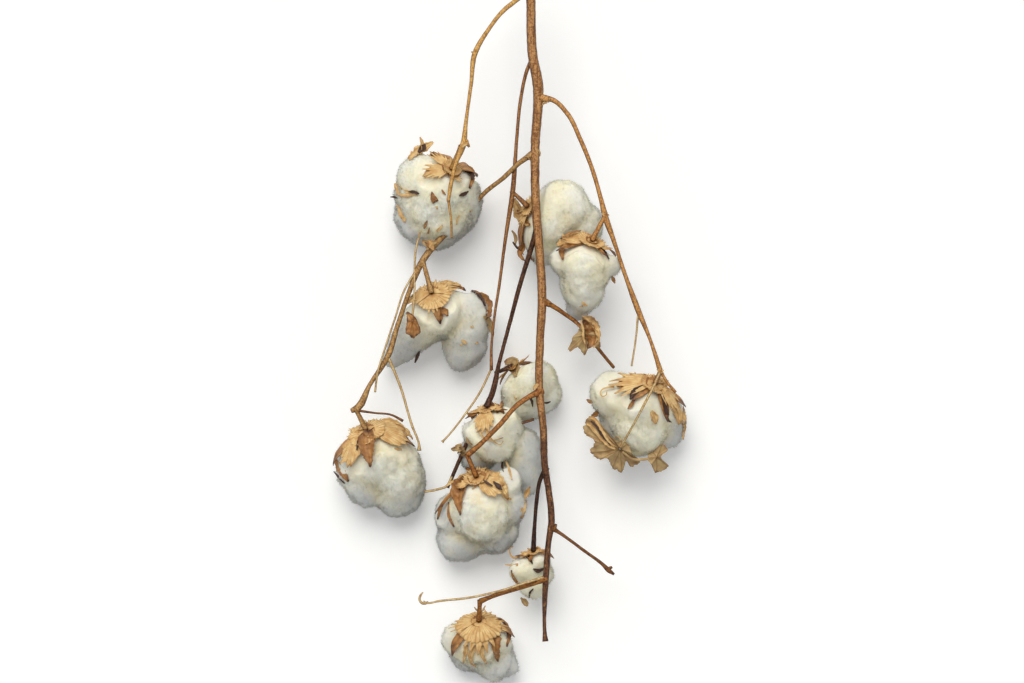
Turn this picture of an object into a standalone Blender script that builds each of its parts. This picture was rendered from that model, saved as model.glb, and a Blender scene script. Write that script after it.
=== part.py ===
"""A cut, dried cotton branch that lies on a surface, with its tip towards -Y.

One woody main stem carries fruiting branches, and these end in open bolls. A boll is three
pieces: the bur, which is a ring of pointed valves, the white lint that has burst out of it,
and three papery, toothed bracts round the place where the boll meets its pedicel.

The tables hold lengths in millimetres and angles in degrees. X runs to the right, Y towards
the cut end of the main stem, and Z up from the surface. MM turns the lengths into metres.
"""

import math
from collections import namedtuple

import bmesh
import bpy
import numpy as np
from mathutils import Vector, noise
from mathutils.bvhtree import BVHTree

MM = 0.001

# Driving dimensions.
GAP = 0.3  # air between two pieces that touch
GROWTH = 1.15  # a cutter's points move out by this many gaps, so that its faces clear one gap
STEM_SIDES = 8
TWIG_SIDES = 6
STEM_TWIG_LIMIT = 2.9  # a run that is nowhere thicker than this radius is a twig
RING_STEP = 15.0  # longest stretch of wood between two rings
THINNEST = 0.9  # a smooth curve through a run narrows to no less than this share of its radii
LINT_FACET = 6.6  # side of one facet of lint
LINT_BLEND = 2.0  # how softly one lock of lint runs into the next
LUMP_SIZE = 12.0
LUMP_DEPTH = 1.4
LINT_PRESSED = 0.063  # how far the lint stays below the shells on it, as a share of its reach
PRESSED_ANGLE = 15.0  # how far that reaches round a shell's points
CARRIER_SPREAD = 14.0  # the higher, the closer the shells follow the locks
CARRIER_SAMPLES = 400
RAY_STEPS = 150
VALVE_INNER = -0.5  # height of a valve's inner face over the lint's smoothed form
VALVE_THICKNESS = 1.0
BRACT_INNER = 1.3
BRACT_THICKNESS = 0.8
VALVE_CAP = 0.3  # reach of the bur between two valves, as a share of the longest valve's
SHELL_RINGS = 3
OPEN_TURN = 30.0  # between two blades further apart than this, the edge falls back to the cap
LEAF_THICKNESS = 0.9
LEAF_RINGS = 2
PEDICEL_END = 2.1  # radius of the swollen end that carries a boll

# One blade's edge, as (share of the half width, share of the reach).
BRACT_EDGE = ((-1, 0.5), (-0.66, 0.9), (-0.34, 0.68), (0, 1), (0.34, 0.7), (0.64, 0.93), (1, 0.5))
VALVE_EDGE = ((-1, 0.32), (-0.5, 0.66), (0, 1), (0.5, 0.62), (1, 0.32))

Colour = namedtuple("Colour", "name rgb roughness")
TAN_WOOD = Colour("tan_wood", (0.36, 0.18, 0.075), 0.75)
BROWN_WOOD = Colour("brown_wood", (0.19, 0.085, 0.035), 0.75)
DARK_WOOD = Colour("dark_wood", (0.06, 0.028, 0.016), 0.8)
LINT = Colour("lint", (0.83, 0.82, 0.74), 0.95)
BUR = Colour("bur", (0.33, 0.16, 0.05), 0.65)
BRACT = Colour("bract", (0.62, 0.38, 0.17), 0.75)
LEAF = Colour("leaf", (0.45, 0.34, 0.13), 0.8)

# A run of wood is a list of (x, y, z, radius), from its root to its end.
Branch = namedtuple("Branch", "name colour runs pedicels", defaults=({},))
# A lock of lint is a ball (x, y, z, radius). A blade is the point it reaches towards and its
# half width as an angle round the boll's axis. Bracts grown together at their base form a cap,
# whose reach between two blades is that share of the longest blade's.
Boll = namedtuple("Boll", "base centre locks valves bracts tip_lift cap", defaults=(1.5, 0.3))

MAIN_STEM = [
    (14.5, 266.5, 57, 3.4), (15.5, 245.5, 57, 3.4), (17, 203, 56.5, 3.6), (21, 179.5, 56, 3.9),
    (21, 169, 56, 3.7), (19, 138.5, 55, 3.4), (19.5, 88, 53.5, 3.2), (22.5, 50.5, 53, 3.1),
    (24, 20.5, 52.5, 3.2), (22.5, -9.5, 51, 2.95), (22, -47, 49.5, 2.9), (25, -77, 49, 2.65),
    (26, -103, 48.5, 2.6), (29, -122, 48, 2.4), (31, -146, 48, 2.5), (29, -159.5, 47.5, 2.2),
    (27, -185.5, 47, 2.3), (26, -204.5, 46.5, 1.9), (26, -228.5, 46, 1.5), (26.5, -235, 46, 2.3),
]  # fmt: skip

BRANCHES = [
    Branch(
        "upper_left_branch", TAN_WOOD,
        runs=[
            [(15, 253, 57, 2.2), (6, 245.5, 58, 1.9), (-5, 236.5, 60, 1.7), (-17, 221, 62, 1.6),
             (-26, 205, 63, 2.1), (-29, 182, 64, 1.45), (-33, 152, 66, 1.5), (-35, 136, 67, 2.3),
             (-40.5, 122, 69, 1.6), (-44, 107, 69.5, 1.6), (-46, 94, 68, 1.3)],
            [(-46, 95.5, 68, 1.0), (-44, 80.5, 64, 0.8), (-43.5, 67, 58, 0.8)],
            [(-32.5, 139, 67, 1.2), (-30.5, 134.5, 68, 0.9)],
        ],
        pedicels={1: [(-37, 134.5, 66, 1.6)]},
    ),
    Branch(
        "long_left_branch", TAN_WOOD,
        runs=[
            [(19.5, 131.5, 54, 2.4), (7.5, 123.5, 50, 1.9), (-5, 112, 44, 1.7),
             (-19, 101, 36, 1.7), (-31.5, 86.5, 30, 1.8), (-43.5, 74, 34, 1.9),
             (-55, 63.5, 40, 2.3), (-66, 49, 44, 2.5), (-75, 28, 44.5, 1.8),
             (-84, 2, 45, 1.8), (-91.5, -21.5, 45, 2.2), (-105, -43, 46, 1.6),
             (-115.5, -61, 46, 2.4), (-119, -62.5, 46.5, 1.7)],
            [(-67, 47.5, 45, 0.9), (-79, 28, 47, 0.75), (-86, 7, 47.5, 0.75),
             (-94, -17, 48, 0.75), (-99, -33.5, 48, 0.75), (-101, -48.5, 47, 0.8)],
            [(-67, 72.5, 46, 0.7), (-70.5, 58, 47, 0.8), (-71.5, 40, 46, 0.8),
             (-71.5, 28, 51, 0.8), (-72, 17, 54.5, 0.8), (-73, 8, 55.5, 0.9)],
            [(-91.5, -21.5, 45, 1.2), (-82.5, -43, 46, 1), (-73.5, -73, 46, 1),
             (-68, -89, 45, 1.1), (-68, -92, 44.5, 1.8)],
            [(-115.5, -62, 46, 1.1), (-101, -64, 48, 0.8), (-88.5, -65.5, 49, 0.8),
             (-80, -70, 48, 1.1)],
        ],
        pedicels={2: [(-65, 49, 44, 1.5)], 3: [(-115.5, -61, 46, 1.6)]},
    ),
    Branch(
        "back_left_branch", BROWN_WOOD,
        runs=[
            [(17, 202, 56, 1.6), (13, 193, 53, 1.4), (8, 170.5, 50, 1.3), (5, 140.5, 47, 1.25),
             (2, 101.5, 44, 1.9), (-3, 69.5, 40, 1.3), (-8, 32, 37, 1.1), (-12, 5.5, 35, 1.0),
             (-14, -17, 33, 1.0), (-14, -32, 31, 1.4)],
            [(-14, -31, 31, 0.9), (-22.5, -48.5, 32, 0.8), (-34, -65.5, 33, 0.8),
             (-49.5, -84.5, 33, 0.8), (-51, -86, 33, 1.3)],
        ],
        pedicels={4: [(2, 101.5, 44, 1.3)]},
    ),
    Branch(
        "right_branch", TAN_WOOD,
        runs=[
            [(21, 172, 56, 2.6), (32, 170, 57.5, 1.9), (43, 159.5, 59, 1.7),
             (52.5, 140.5, 60, 1.65), (61.5, 118, 60, 1.6), (68, 95.5, 60, 1.7),
             (71, 83.5, 60, 2.3), (78, 63.5, 58, 1.6), (86, 39.5, 55, 1.5),
             (96, 12.5, 52, 2.1), (105, -9.5, 51, 1.3), (112.5, -32.5, 50.5, 2.0)],
            [(96, 11.5, 52, 0.9), (94, -9.5, 49, 0.75), (91, -29, 47, 0.75)],
            [(112.5, -32.5, 51, 1.0), (106.5, -45.5, 60, 1.0), (101, -56, 63, 1.0),
             (92, -73, 59, 0.8), (82.5, -90, 49, 1.0)],
            [(112.5, -32.5, 50, 1.2), (118, -41.5, 49, 1.1), (124, -48.5, 47, 1.1)],
        ],
        pedicels={5: [(71, 83.5, 60, 1.5)], 6: [(112.5, -32.5, 50.5, 1.6)]},
    ),
    Branch(
        "dark_branch", DARK_WOOD,
        runs=[
            [(20, 73, 53, 2.1), (15, 56.5, 50, 1.9), (7.5, 32, 45, 1.7), (0, 4, 39, 1.5),
             (-8, -26, 34, 1.5), (-15, -53.5, 30, 2.2), (-23, -66.5, 27, 1.5),
             (-31.5, -84.5, 24, 1.5), (-37.5, -98.5, 22, 1.5), (-47, -120.5, 21, 1.3)],
            [(-43.5, -112, 22, 1.0), (-48, -119.5, 23.5, 0.9), (-54, -121.5, 24.5, 0.9),
             (-64.5, -123.5, 26, 0.9)],
            [(-15, -55, 30, 1.0), (-3, -69, 31, 1.0), (8, -71.5, 30, 1.0), (18, -69, 28, 1.0)],
        ],
        pedicels={7: [(-10.5, -34, 33, 1.2)], 8: [(-15, -53.5, 30, 1.4)]},
    ),
    Branch(
        "front_branch", TAN_WOOD,
        runs=[
            [(23, -47.5, 49.5, 2.4), (15, -51.5, 54, 2.1), (6, -57.5, 57, 1.9),
             (-7.5, -72.5, 58, 1.9), (-22.5, -87.5, 56, 1.9), (-32, -95.5, 54, 2.4)],
        ],
        pedicels={9: [(-32, -95.5, 54, 1.7)]},
    ),
    Branch(
        "short_dark_branch", DARK_WOOD,
        runs=[],
        pedicels={10: [(27, -105.5, 48, 1.9), (23, -113, 46, 1.6), (20, -129.5, 43, 1.5),
                       (18.5, -148, 40, 1.5)]},
    ),
    Branch(
        "bare_twig", TAN_WOOD,
        runs=[
            [(30, -149, 48, 1.8), (39, -155, 47, 1.3), (56, -167.5, 45, 1.2),
             (70, -178, 43, 1.4), (74, -182, 42, 1.8), (78, -185, 41.5, 0.9)],
            [(73, -181, 42, 1.1), (76.5, -179.5, 43, 0.8)],
            [(33, -151.5, 47.5, 1.2), (34.5, -147, 48, 0.8)],
        ],
    ),
    Branch(
        "lowest_branch", TAN_WOOD,
        runs=[
            [(27, -188, 47, 2.1), (15, -192.5, 47, 1.8), (0, -197, 46.5, 1.7),
             (-15, -202, 46, 1.7), (-22.5, -205, 46, 2.2)],
            [(25, -187, 48, 1.2), (10, -191.5, 51.5, 0.9), (-7.5, -197, 52, 0.9),
             (-30, -202, 53, 0.9), (-52.5, -204.5, 53, 0.9), (-63, -206, 53, 1.0),
             (-65, -205.5, 53, 1.5)],
        ],
        pedicels={11: [(-22.5, -205, 46, 1.6)]},
    ),
    Branch(
        "leaf_branch", TAN_WOOD,
        runs=[
            [(23, 20.5, 52.5, 2.3), (32, 16, 51, 1.9), (41, 10, 48, 1.6), (50, 3.5, 43, 1.5),
             (60, -8, 34, 1.4), (70, -20.5, 24, 1.3), (78, -30, 16, 1.3)],
            [(47, 6, 45, 1.0), (51, 2, 48, 0.9), (54, -1, 49, 0.9)],
        ],
    ),
]  # fmt: skip

BOLLS = {
    1: Boll(
        base=(-41, 124, 57), centre=(-54, 97, 30),
        locks=[(-64.5, 110.5, 28, 20), (-67.5, 83, 17.5, 19), (-37.5, 103, 30, 17),
               (-41, 84.5, 17, 18), (-54, 77, 16.5, 18), (-52.5, 103, 32, 25),
               (-66, 97, 24, 19.5), (-40, 94, 24, 18.5), (-53, 90, 27, 24)],
        valves=[((-60, 131, 40), 16), ((-31, 101, 42), 14), ((-60, 118, 10), 18),
                ((-28, 112, 15), 18)],
        bracts=[((-67, 112, 54), 34), ((-37, 106, 56), 24), ((-62, 132, 42), 30)],
        tip_lift=3.0,
    ),
    2: Boll(
        base=(-59, 27.5, 50), centre=(-52.5, -2, 27),
        locks=[(-33, 11.5, 24, 17), (-34.5, -13, 15, 16.5), (-38, -25, 15, 8), (-66, 2, 28, 15),
               (-79.5, -13, 18, 12), (-88, -23, 15, 7), (-55, 13, 33, 20),
               (-34, -1, 21, 17.5), (-73, -5, 24, 13.5)],
        valves=[((-53, 3, 52), 18), ((-34, 28, 16), 18), ((-76, 24, 22), 16), ((-48, 26, 6), 18)],
        bracts=[((-57, 8, 54), 56), ((-37, 32, 36), 36), ((-79, 17, 38), 34)],
        cap=0.62,
    ),
    3: Boll(
        base=(-109.5, -73, 46), centre=(-94, -107, 25),
        locks=[(-116, -99.5, 26, 17), (-108, -120.5, 22, 14), (-85.5, -101, 26, 20),
               (-84, -123.5, 17, 18.5), (-100, -95.5, 32, 22),
               (-96, -85.5, 28, 17), (-85, -112, 24, 20.5), (-112, -110, 24.5, 16)],
        valves=[((-104, -103, 52), 26), ((-70, -88, 34), 14), ((-128, -104, 28), 16),
                ((-100, -84, 4), 18)],
        bracts=[((-72, -84, 42), 40), ((-120, -106, 44), 32), ((-114, -80, 20), 30)],
        cap=0.42,
    ),
    4: Boll(
        base=(13, 91, 40), centre=(41, 74.5, 26),
        locks=[(39, 90.5, 30, 20), (52.5, 77, 22, 17), (46.5, 62, 16, 17.5), (26, 65.5, 24, 18),
               (13, 67, 22, 9), (30, 80.5, 29, 21)],
        valves=[((8, 52, 24), 16), ((26, 62, 10), 16), ((18, 106, 34), 14), ((20, 80, 4), 18)],
        bracts=[((6, 74, 38), 34), ((14, 108, 40), 34), ((12, 88, 14), 34)],
    ),
    5: Boll(
        base=(61.5, 65.5, 58), centre=(55, 42, 45),
        locks=[(40, 50, 47, 10.5), (55, 49, 51, 17), (73, 47.5, 47, 10), (55, 28, 42, 15),
               (51, 14.5, 35, 9), (55, 38, 46.5, 16.5)],
        valves=[((40, 53, 56), 16), ((68, 50, 60), 12), ((80, 53, 38), 15), ((50, 62, 30), 18)],
        bracts=[((39, 64, 50), 46), ((73, 55, 56), 30), ((66, 62, 42), 30)],
        tip_lift=3.5,
        cap=0.45,
    ),
    6: Boll(
        base=(109, -41, 48), centre=(95, -71, 28),
        locks=[(78, -50.5, 30, 17.5), (82.5, -68, 22, 15), (98, -75.5, 30, 20),
               (115.5, -65.5, 24, 16), (118, -77, 18, 13), (97.5, -73, 16.5, 18),
               (100.5, -58, 34, 22)],
        valves=[((91, -55, 56), 18), ((118, -71, 50), 18), ((132, -60, 30), 16),
                ((95, -48, 6), 18)],
        bracts=[((73, -48, 46), 40), ((127, -66, 42), 34), ((116, -40, 26), 34)],
        tip_lift=2.0,
    ),
    7: Boll(
        base=(4, -32, 24), centre=(15, -48.5, 20),
        locks=[(21, -39.5, 22, 14), (7, -45.5, 20, 13.5), (25, -50, 16, 13), (6, -58, 14, 12),
               (15, -54.5, 13, 14), (14, -42.5, 22, 15)],
        valves=[((0, -28, 16), 16), ((14, -26, 22), 16), ((18, -32, 8), 18), ((-4, -44, 10), 16)],
        bracts=[((1, -30, 36), 32), ((16, -26, 16), 34), ((-5, -44, 16), 34)],
        tip_lift=3.5,
    ),
    8: Boll(
        base=(-17, -60.5, 33), centre=(-7.5, -88, 21),
        locks=[(-23, -77, 26, 13), (-11, -84.5, 30, 16.5), (-5, -74.5, 26, 14),
               (9, -89.5, 17, 14), (9, -107, 13, 14), (13, -117.5, 12, 9),
               (-24, -95.5, 12.5, 14), (-12, -77, 26, 17), (9, -98, 15.5, 14.5)],
        valves=[((-32, -70, 30), 14), ((-2, -63, 36), 14), ((-10, -66, 8), 18),
                ((-28, -72, 10), 16)],
        bracts=[((-20, -81, 48), 38), ((-5, -64, 36), 30), ((-31, -66, 26), 32)],
    ),
    9: Boll(
        base=(-25.5, -109, 50), centre=(-22, -144.5, 28),
        locks=[(-21, -140.5, 34, 20.5), (-41, -140.5, 26, 15.5), (-37.5, -159.5, 16.5, 18),
               (-11, -152, 20, 17), (-1.5, -133, 28, 14), (-3, -116, 36, 11),
               (-23, -131, 36, 22), (-13, -119, 34, 12)],
        valves=[((-36, -137, 60), 18), ((-56, -140, 36), 8), ((10, -118, 24), 14),
                ((-20, -118, 6), 18)],
        bracts=[((-3, -122, 62), 40), ((-44, -116, 56), 24), ((-24, -106, 26), 36)],
        tip_lift=2.5,
        cap=0.4,
    ),
    10: Boll(
        base=(18, -162.5, 36), centre=(16, -182.5, 24),
        locks=[(9, -181, 26, 8.5), (22.5, -174.5, 28, 8.5), (18, -194, 22, 9.5),
               (15, -183.5, 22, 11), (26, -185.5, 20, 7)],
        valves=[((1, -170, 30), 22), ((14, -174, 42), 20), ((32, -174, 28), 22),
                ((16, -170, 8), 22)],
        bracts=[((4, -166, 36), 24), ((28, -166, 38), 30), ((16, -164, 16), 34)],
    ),
    11: Boll(
        base=(-23.5, -217, 42), centre=(-22, -240.5, 20),
        locks=[(-39, -234.5, 22, 12), (-33, -245.5, 13.5, 14), (-12, -249.5, 14, 15.5),
               (-7.5, -234.5, 22, 10), (0, -255.5, 14, 6), (-22.5, -234.5, 26, 18.5)],
        valves=[((-43, -246, 30), 16), ((-11, -250, 42), 18), ((4, -232, 22), 18),
                ((-26, -222, 6), 18)],
        bracts=[((-23, -248, 46), 62), ((-2, -230, 30), 28), ((-42, -230, 30), 28)],
        cap=0.66,
    ),
}  # fmt: skip
LINT_ORDER = (9, 5, 1, 2, 3, 6, 8, 4, 7, 10, 11)  # each yields to those before it

# A dry leaf is a middle point (x, y, z) and its edge's points, anticlockwise from above.
SMALL_LEAF = [
    (57, -5, 49),
    [(43.5, -18.5, 42), (51, -15, 48), (56, -20.5, 44), (60, -14, 48), (68, -15, 42),
     (66, -6, 48), (67, 2, 46), (61, 9, 50), (54, 7, 51), (52, -1, 48), (47, -8, 46)],
]  # fmt: skip
LARGE_LEAF = [
    (82.5, -91, 46),
    [(78, -84, 44), (72, -77, 43), (63, -67, 40), (58, -69, 38), (55.5, -79, 36),
     (63, -85, 42), (61, -94, 37), (67, -99, 38), (73, -98, 44), (77, -105, 36),
     (84, -108.5, 34), (87, -100, 43), (91, -105, 36), (97, -100, 38), (91, -94, 45),
     (88, -87, 45)],
]  # fmt: skip
LEAF_SCRAP = [
    (110, -97, 38),
    [(106, -103, 40), (110, -109, 33), (118.5, -104, 35), (113, -97, 42), (118.5, -92, 34),
     (114, -87.5, 37), (106, -92, 36), (103, -98, 40)],
]  # fmt: skip
LEAF_STALK = [(84, -93, 45.5, 1.1), (92, -98.5, 42, 1.0), (103, -98.5, 39, 1.0),
              (110, -97, 38, 0.8)]  # fmt: skip
HANGING_BRACT = [
    (-73, 5, 56),
    [(-77, 5, 55), (-78, -3, 54), (-75, -6, 57), (-72, -8, 55), (-67, -3, 54), (-69, 4, 54),
     (-72, 9, 57), (-77, 12, 54)],
]  # fmt: skip


def clear_scene():
    for item in list(bpy.data.objects):
        bpy.data.objects.remove(item, do_unlink=True)


def material(colour):
    """The colour's Principled material, made once."""
    if colour.name in bpy.data.materials:
        return bpy.data.materials[colour.name]
    made = bpy.data.materials.new(colour.name)
    made.use_nodes = True
    shader = made.node_tree.nodes["Principled BSDF"]
    shader.inputs["Base Color"].default_value = (*colour.rgb, 1)
    shader.inputs["Roughness"].default_value = colour.roughness
    shader.inputs["Metallic"].default_value = 0
    return made


def add_object(name, points, faces, colour):
    """A mesh object from points in millimetres and faces that point out."""
    mesh = bpy.data.meshes.new(name)
    mesh.from_pydata([tuple(p) for p in np.asarray(points) * MM], [], faces)
    mesh.materials.append(material(colour))
    mesh.shade_smooth()
    made = bpy.data.objects.new(name, mesh)
    bpy.context.scene.collection.objects.link(made)
    return made


def smooth_run(points, step):
    """The points with more between them, on a smooth curve through all of them."""
    points = np.array(points, float)
    if len(points) < 3:
        return points
    lengths = np.linalg.norm(np.diff(points[:, :3], axis=0), axis=1)
    along = np.concatenate([[0], np.cumsum(lengths)])
    slopes = np.gradient(points, along, axis=0)
    made = [points[0]]
    for i, length in enumerate(lengths):
        count = max(1, math.ceil(length / step))
        for t in np.arange(1, count + 1) / count:
            start = (1 + 2 * t) * (1 - t) ** 2 * points[i] + t * (1 - t) ** 2 * length * slopes[i]
            end = t * t * (3 - 2 * t) * points[i + 1] + t * t * (t - 1) * length * slopes[i + 1]
            made.append(start + end)
    made = np.array(made)
    made[:, 3] = np.maximum(made[:, 3], points[:, 3].min() * THINNEST)
    return made


def tube(name, run, colour):
    """A run of wood as one closed tube."""
    sides = STEM_SIDES if max(r for *_, r in run) > STEM_TWIG_LIMIT else TWIG_SIDES
    rings = smooth_run(run, RING_STEP)
    tangents = np.gradient(rings[:, :3], axis=0)
    across = Vector((0, 0, 1)).cross(Vector(tangents[0])).normalized()
    points = []
    for (*middle, radius), tangent in zip(rings, tangents):
        forward = Vector(tangent).normalized()
        across = (across - forward * across.dot(forward)).normalized()
        up = forward.cross(across)
        for side in range(sides):
            turn = 2 * math.pi * side / sides
            out = math.cos(turn) * across + math.sin(turn) * up
            points.append(Vector(middle) + out * radius)
    last = len(rings) - 1
    faces = [tuple(range(sides))[::-1], tuple(last * sides + s for s in range(sides))]
    for ring in range(last):
        for side in range(sides):
            a, b = ring * sides + side, ring * sides + (side + 1) % sides
            faces.append((a, b, b + sides, a + sides))
    return add_object(name, points, faces, colour)


def sheet(name, top_middle, top, bottom_middle, bottom, colour):
    """A thin closed blade, from rings of points round a middle, triangulated alike on both faces."""
    rings, count = top.shape[:2]
    points = [top_middle, bottom_middle, *top.reshape(-1, 3), *bottom.reshape(-1, 3)]
    under = rings * count
    faces = []
    for i in range(count):
        j = (i + 1) % count
        pairs = [(0, 2 + i, 2 + j)]
        for ring in range(rings - 1):
            a, b = 2 + ring * count + i, 2 + ring * count + j
            pairs += [(a, a + count, b + count), (a, b + count, b)]
        for a, b, c in pairs:
            low = [1 if p == 0 else p + under for p in (a, b, c)]
            faces += [(a, b, c), (low[0], low[2], low[1])]
        a, b = 2 + (rings - 1) * count + i, 2 + (rings - 1) * count + j
        faces += [(a, a + under, b), (b, a + under, b + under)]
    return add_object(name, points, faces, colour)


def leaf(name, middle, edge, colour):
    """A dry leaf: rings between its middle and its edge, folded up and down from point to point."""
    middle, edge = np.array(middle, float), np.array(edge, float)
    shares = (np.arange(LEAF_RINGS) + 1) / LEAF_RINGS
    top = middle + shares[:, None, None] * (edge - middle)
    half = np.array((0, 0, LEAF_THICKNESS / 2))
    return sheet(name, middle + half, top + half, middle - half, top - half, colour)


def tidy(item):
    """Keeps the item's largest body and drops what a cut left loose."""
    work = bmesh.new()
    work.from_mesh(item.data)
    bmesh.ops.remove_doubles(work, verts=work.verts, dist=1e-6)
    bmesh.ops.triangulate(work, faces=work.faces)
    seen, bodies = set(), []
    for first in work.faces:
        if first in seen:
            continue
        seen.add(first)
        body = [first]
        for face in body:
            for edge in face.edges:
                for other in edge.link_faces:
                    if other not in seen:
                        seen.add(other)
                        body.append(other)
        bodies.append(body)
    bodies.sort(key=lambda body: sum(face.calc_area() for face in body))
    loose = [face for body in bodies[:-1] for face in body]
    bmesh.ops.delete(work, geom=loose, context="FACES")
    work.to_mesh(item.data)
    work.free()
    item.data.shade_smooth()


def boolean(item, others, operation):
    """Joins the others to the item, or cuts them from it, and removes them."""
    tools = bpy.data.collections.new(item.name + "_tools")
    bpy.context.scene.collection.children.link(tools)
    for other in others:
        bpy.context.scene.collection.objects.unlink(other)
        tools.objects.link(other)
    step = item.modifiers.new("boolean", "BOOLEAN")
    step.operation = operation
    step.operand_type = "COLLECTION"
    step.collection = tools
    bpy.context.view_layer.update()
    evaluated = item.evaluated_get(bpy.context.evaluated_depsgraph_get())
    result = bpy.data.meshes.new_from_object(evaluated)
    item.modifiers.remove(step)
    old, item.data = item.data, result
    bpy.data.meshes.remove(old)
    for other in others:
        bpy.data.objects.remove(other, do_unlink=True)
    bpy.data.collections.remove(tools)
    tidy(item)


def joined(name, pieces):
    """The pieces as one solid of that name."""
    first = pieces[0]
    if len(pieces) > 1:
        boolean(first, pieces[1:], "UNION")
    first.name = first.data.name = name
    return first


def grown(item):
    """A copy of the item that is thicker by the gap all over."""
    copy = bpy.data.objects.new(item.name + "_grown", item.data.copy())
    bpy.context.scene.collection.objects.link(copy)
    normals = [vertex.normal.copy() for vertex in copy.data.vertices]
    for vertex, normal in zip(copy.data.vertices, normals):
        vertex.co += normal * GAP * MM * GROWTH
    return copy


def surface_tree(item):
    points = [vertex.co.copy() for vertex in item.data.vertices]
    return BVHTree.FromPolygons(points, [tuple(face.vertices) for face in item.data.polygons])


def keep_clear(item, others):
    """Cuts from the item the room that the others take, with the gap round them."""
    tree = surface_tree(item)
    cutters = []
    for other in others:
        copy = grown(other)
        if tree.overlap(surface_tree(copy)):
            cutters.append(copy)
        else:
            bpy.data.objects.remove(copy, do_unlink=True)
    for cutter in cutters:
        boolean(item, [cutter], "DIFFERENCE")


def even_directions(count):
    """Unit vectors spread evenly over a sphere, on a spiral."""
    index = np.arange(count) + 0.5
    height = 1 - 2 * index / count
    turn = index * math.pi * (3 - math.sqrt(5))
    flat = np.sqrt(1 - height**2)
    return np.stack([flat * np.cos(turn), flat * np.sin(turn), height], axis=1)


def lint_reach(boll, directions):
    """How far the blended locks reach from the boll's centre along each direction."""
    centre = np.array(boll.centre, float)
    locks = np.array(boll.locks, float)
    furthest = max(np.linalg.norm(locks[:, :3] - centre, axis=1) + locks[:, 3]) + 3
    steps = np.linspace(1, furthest, RAY_STEPS)
    points = centre + steps[None, :, None] * directions[:, None, :]
    away = np.linalg.norm(points[:, :, None] - locks[:, :3], axis=3) - locks[:, 3]
    field = -LINT_BLEND * np.log(np.exp(-away / LINT_BLEND).sum(axis=2))
    inside = field < 0
    last = inside.shape[1] - 1 - np.argmax(inside[:, ::-1], axis=1)
    rows = np.arange(len(directions))
    low, high = field[rows, last], field[rows, last + 1]
    return steps[last] + (steps[1] - steps[0]) * low / (low - high)


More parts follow.
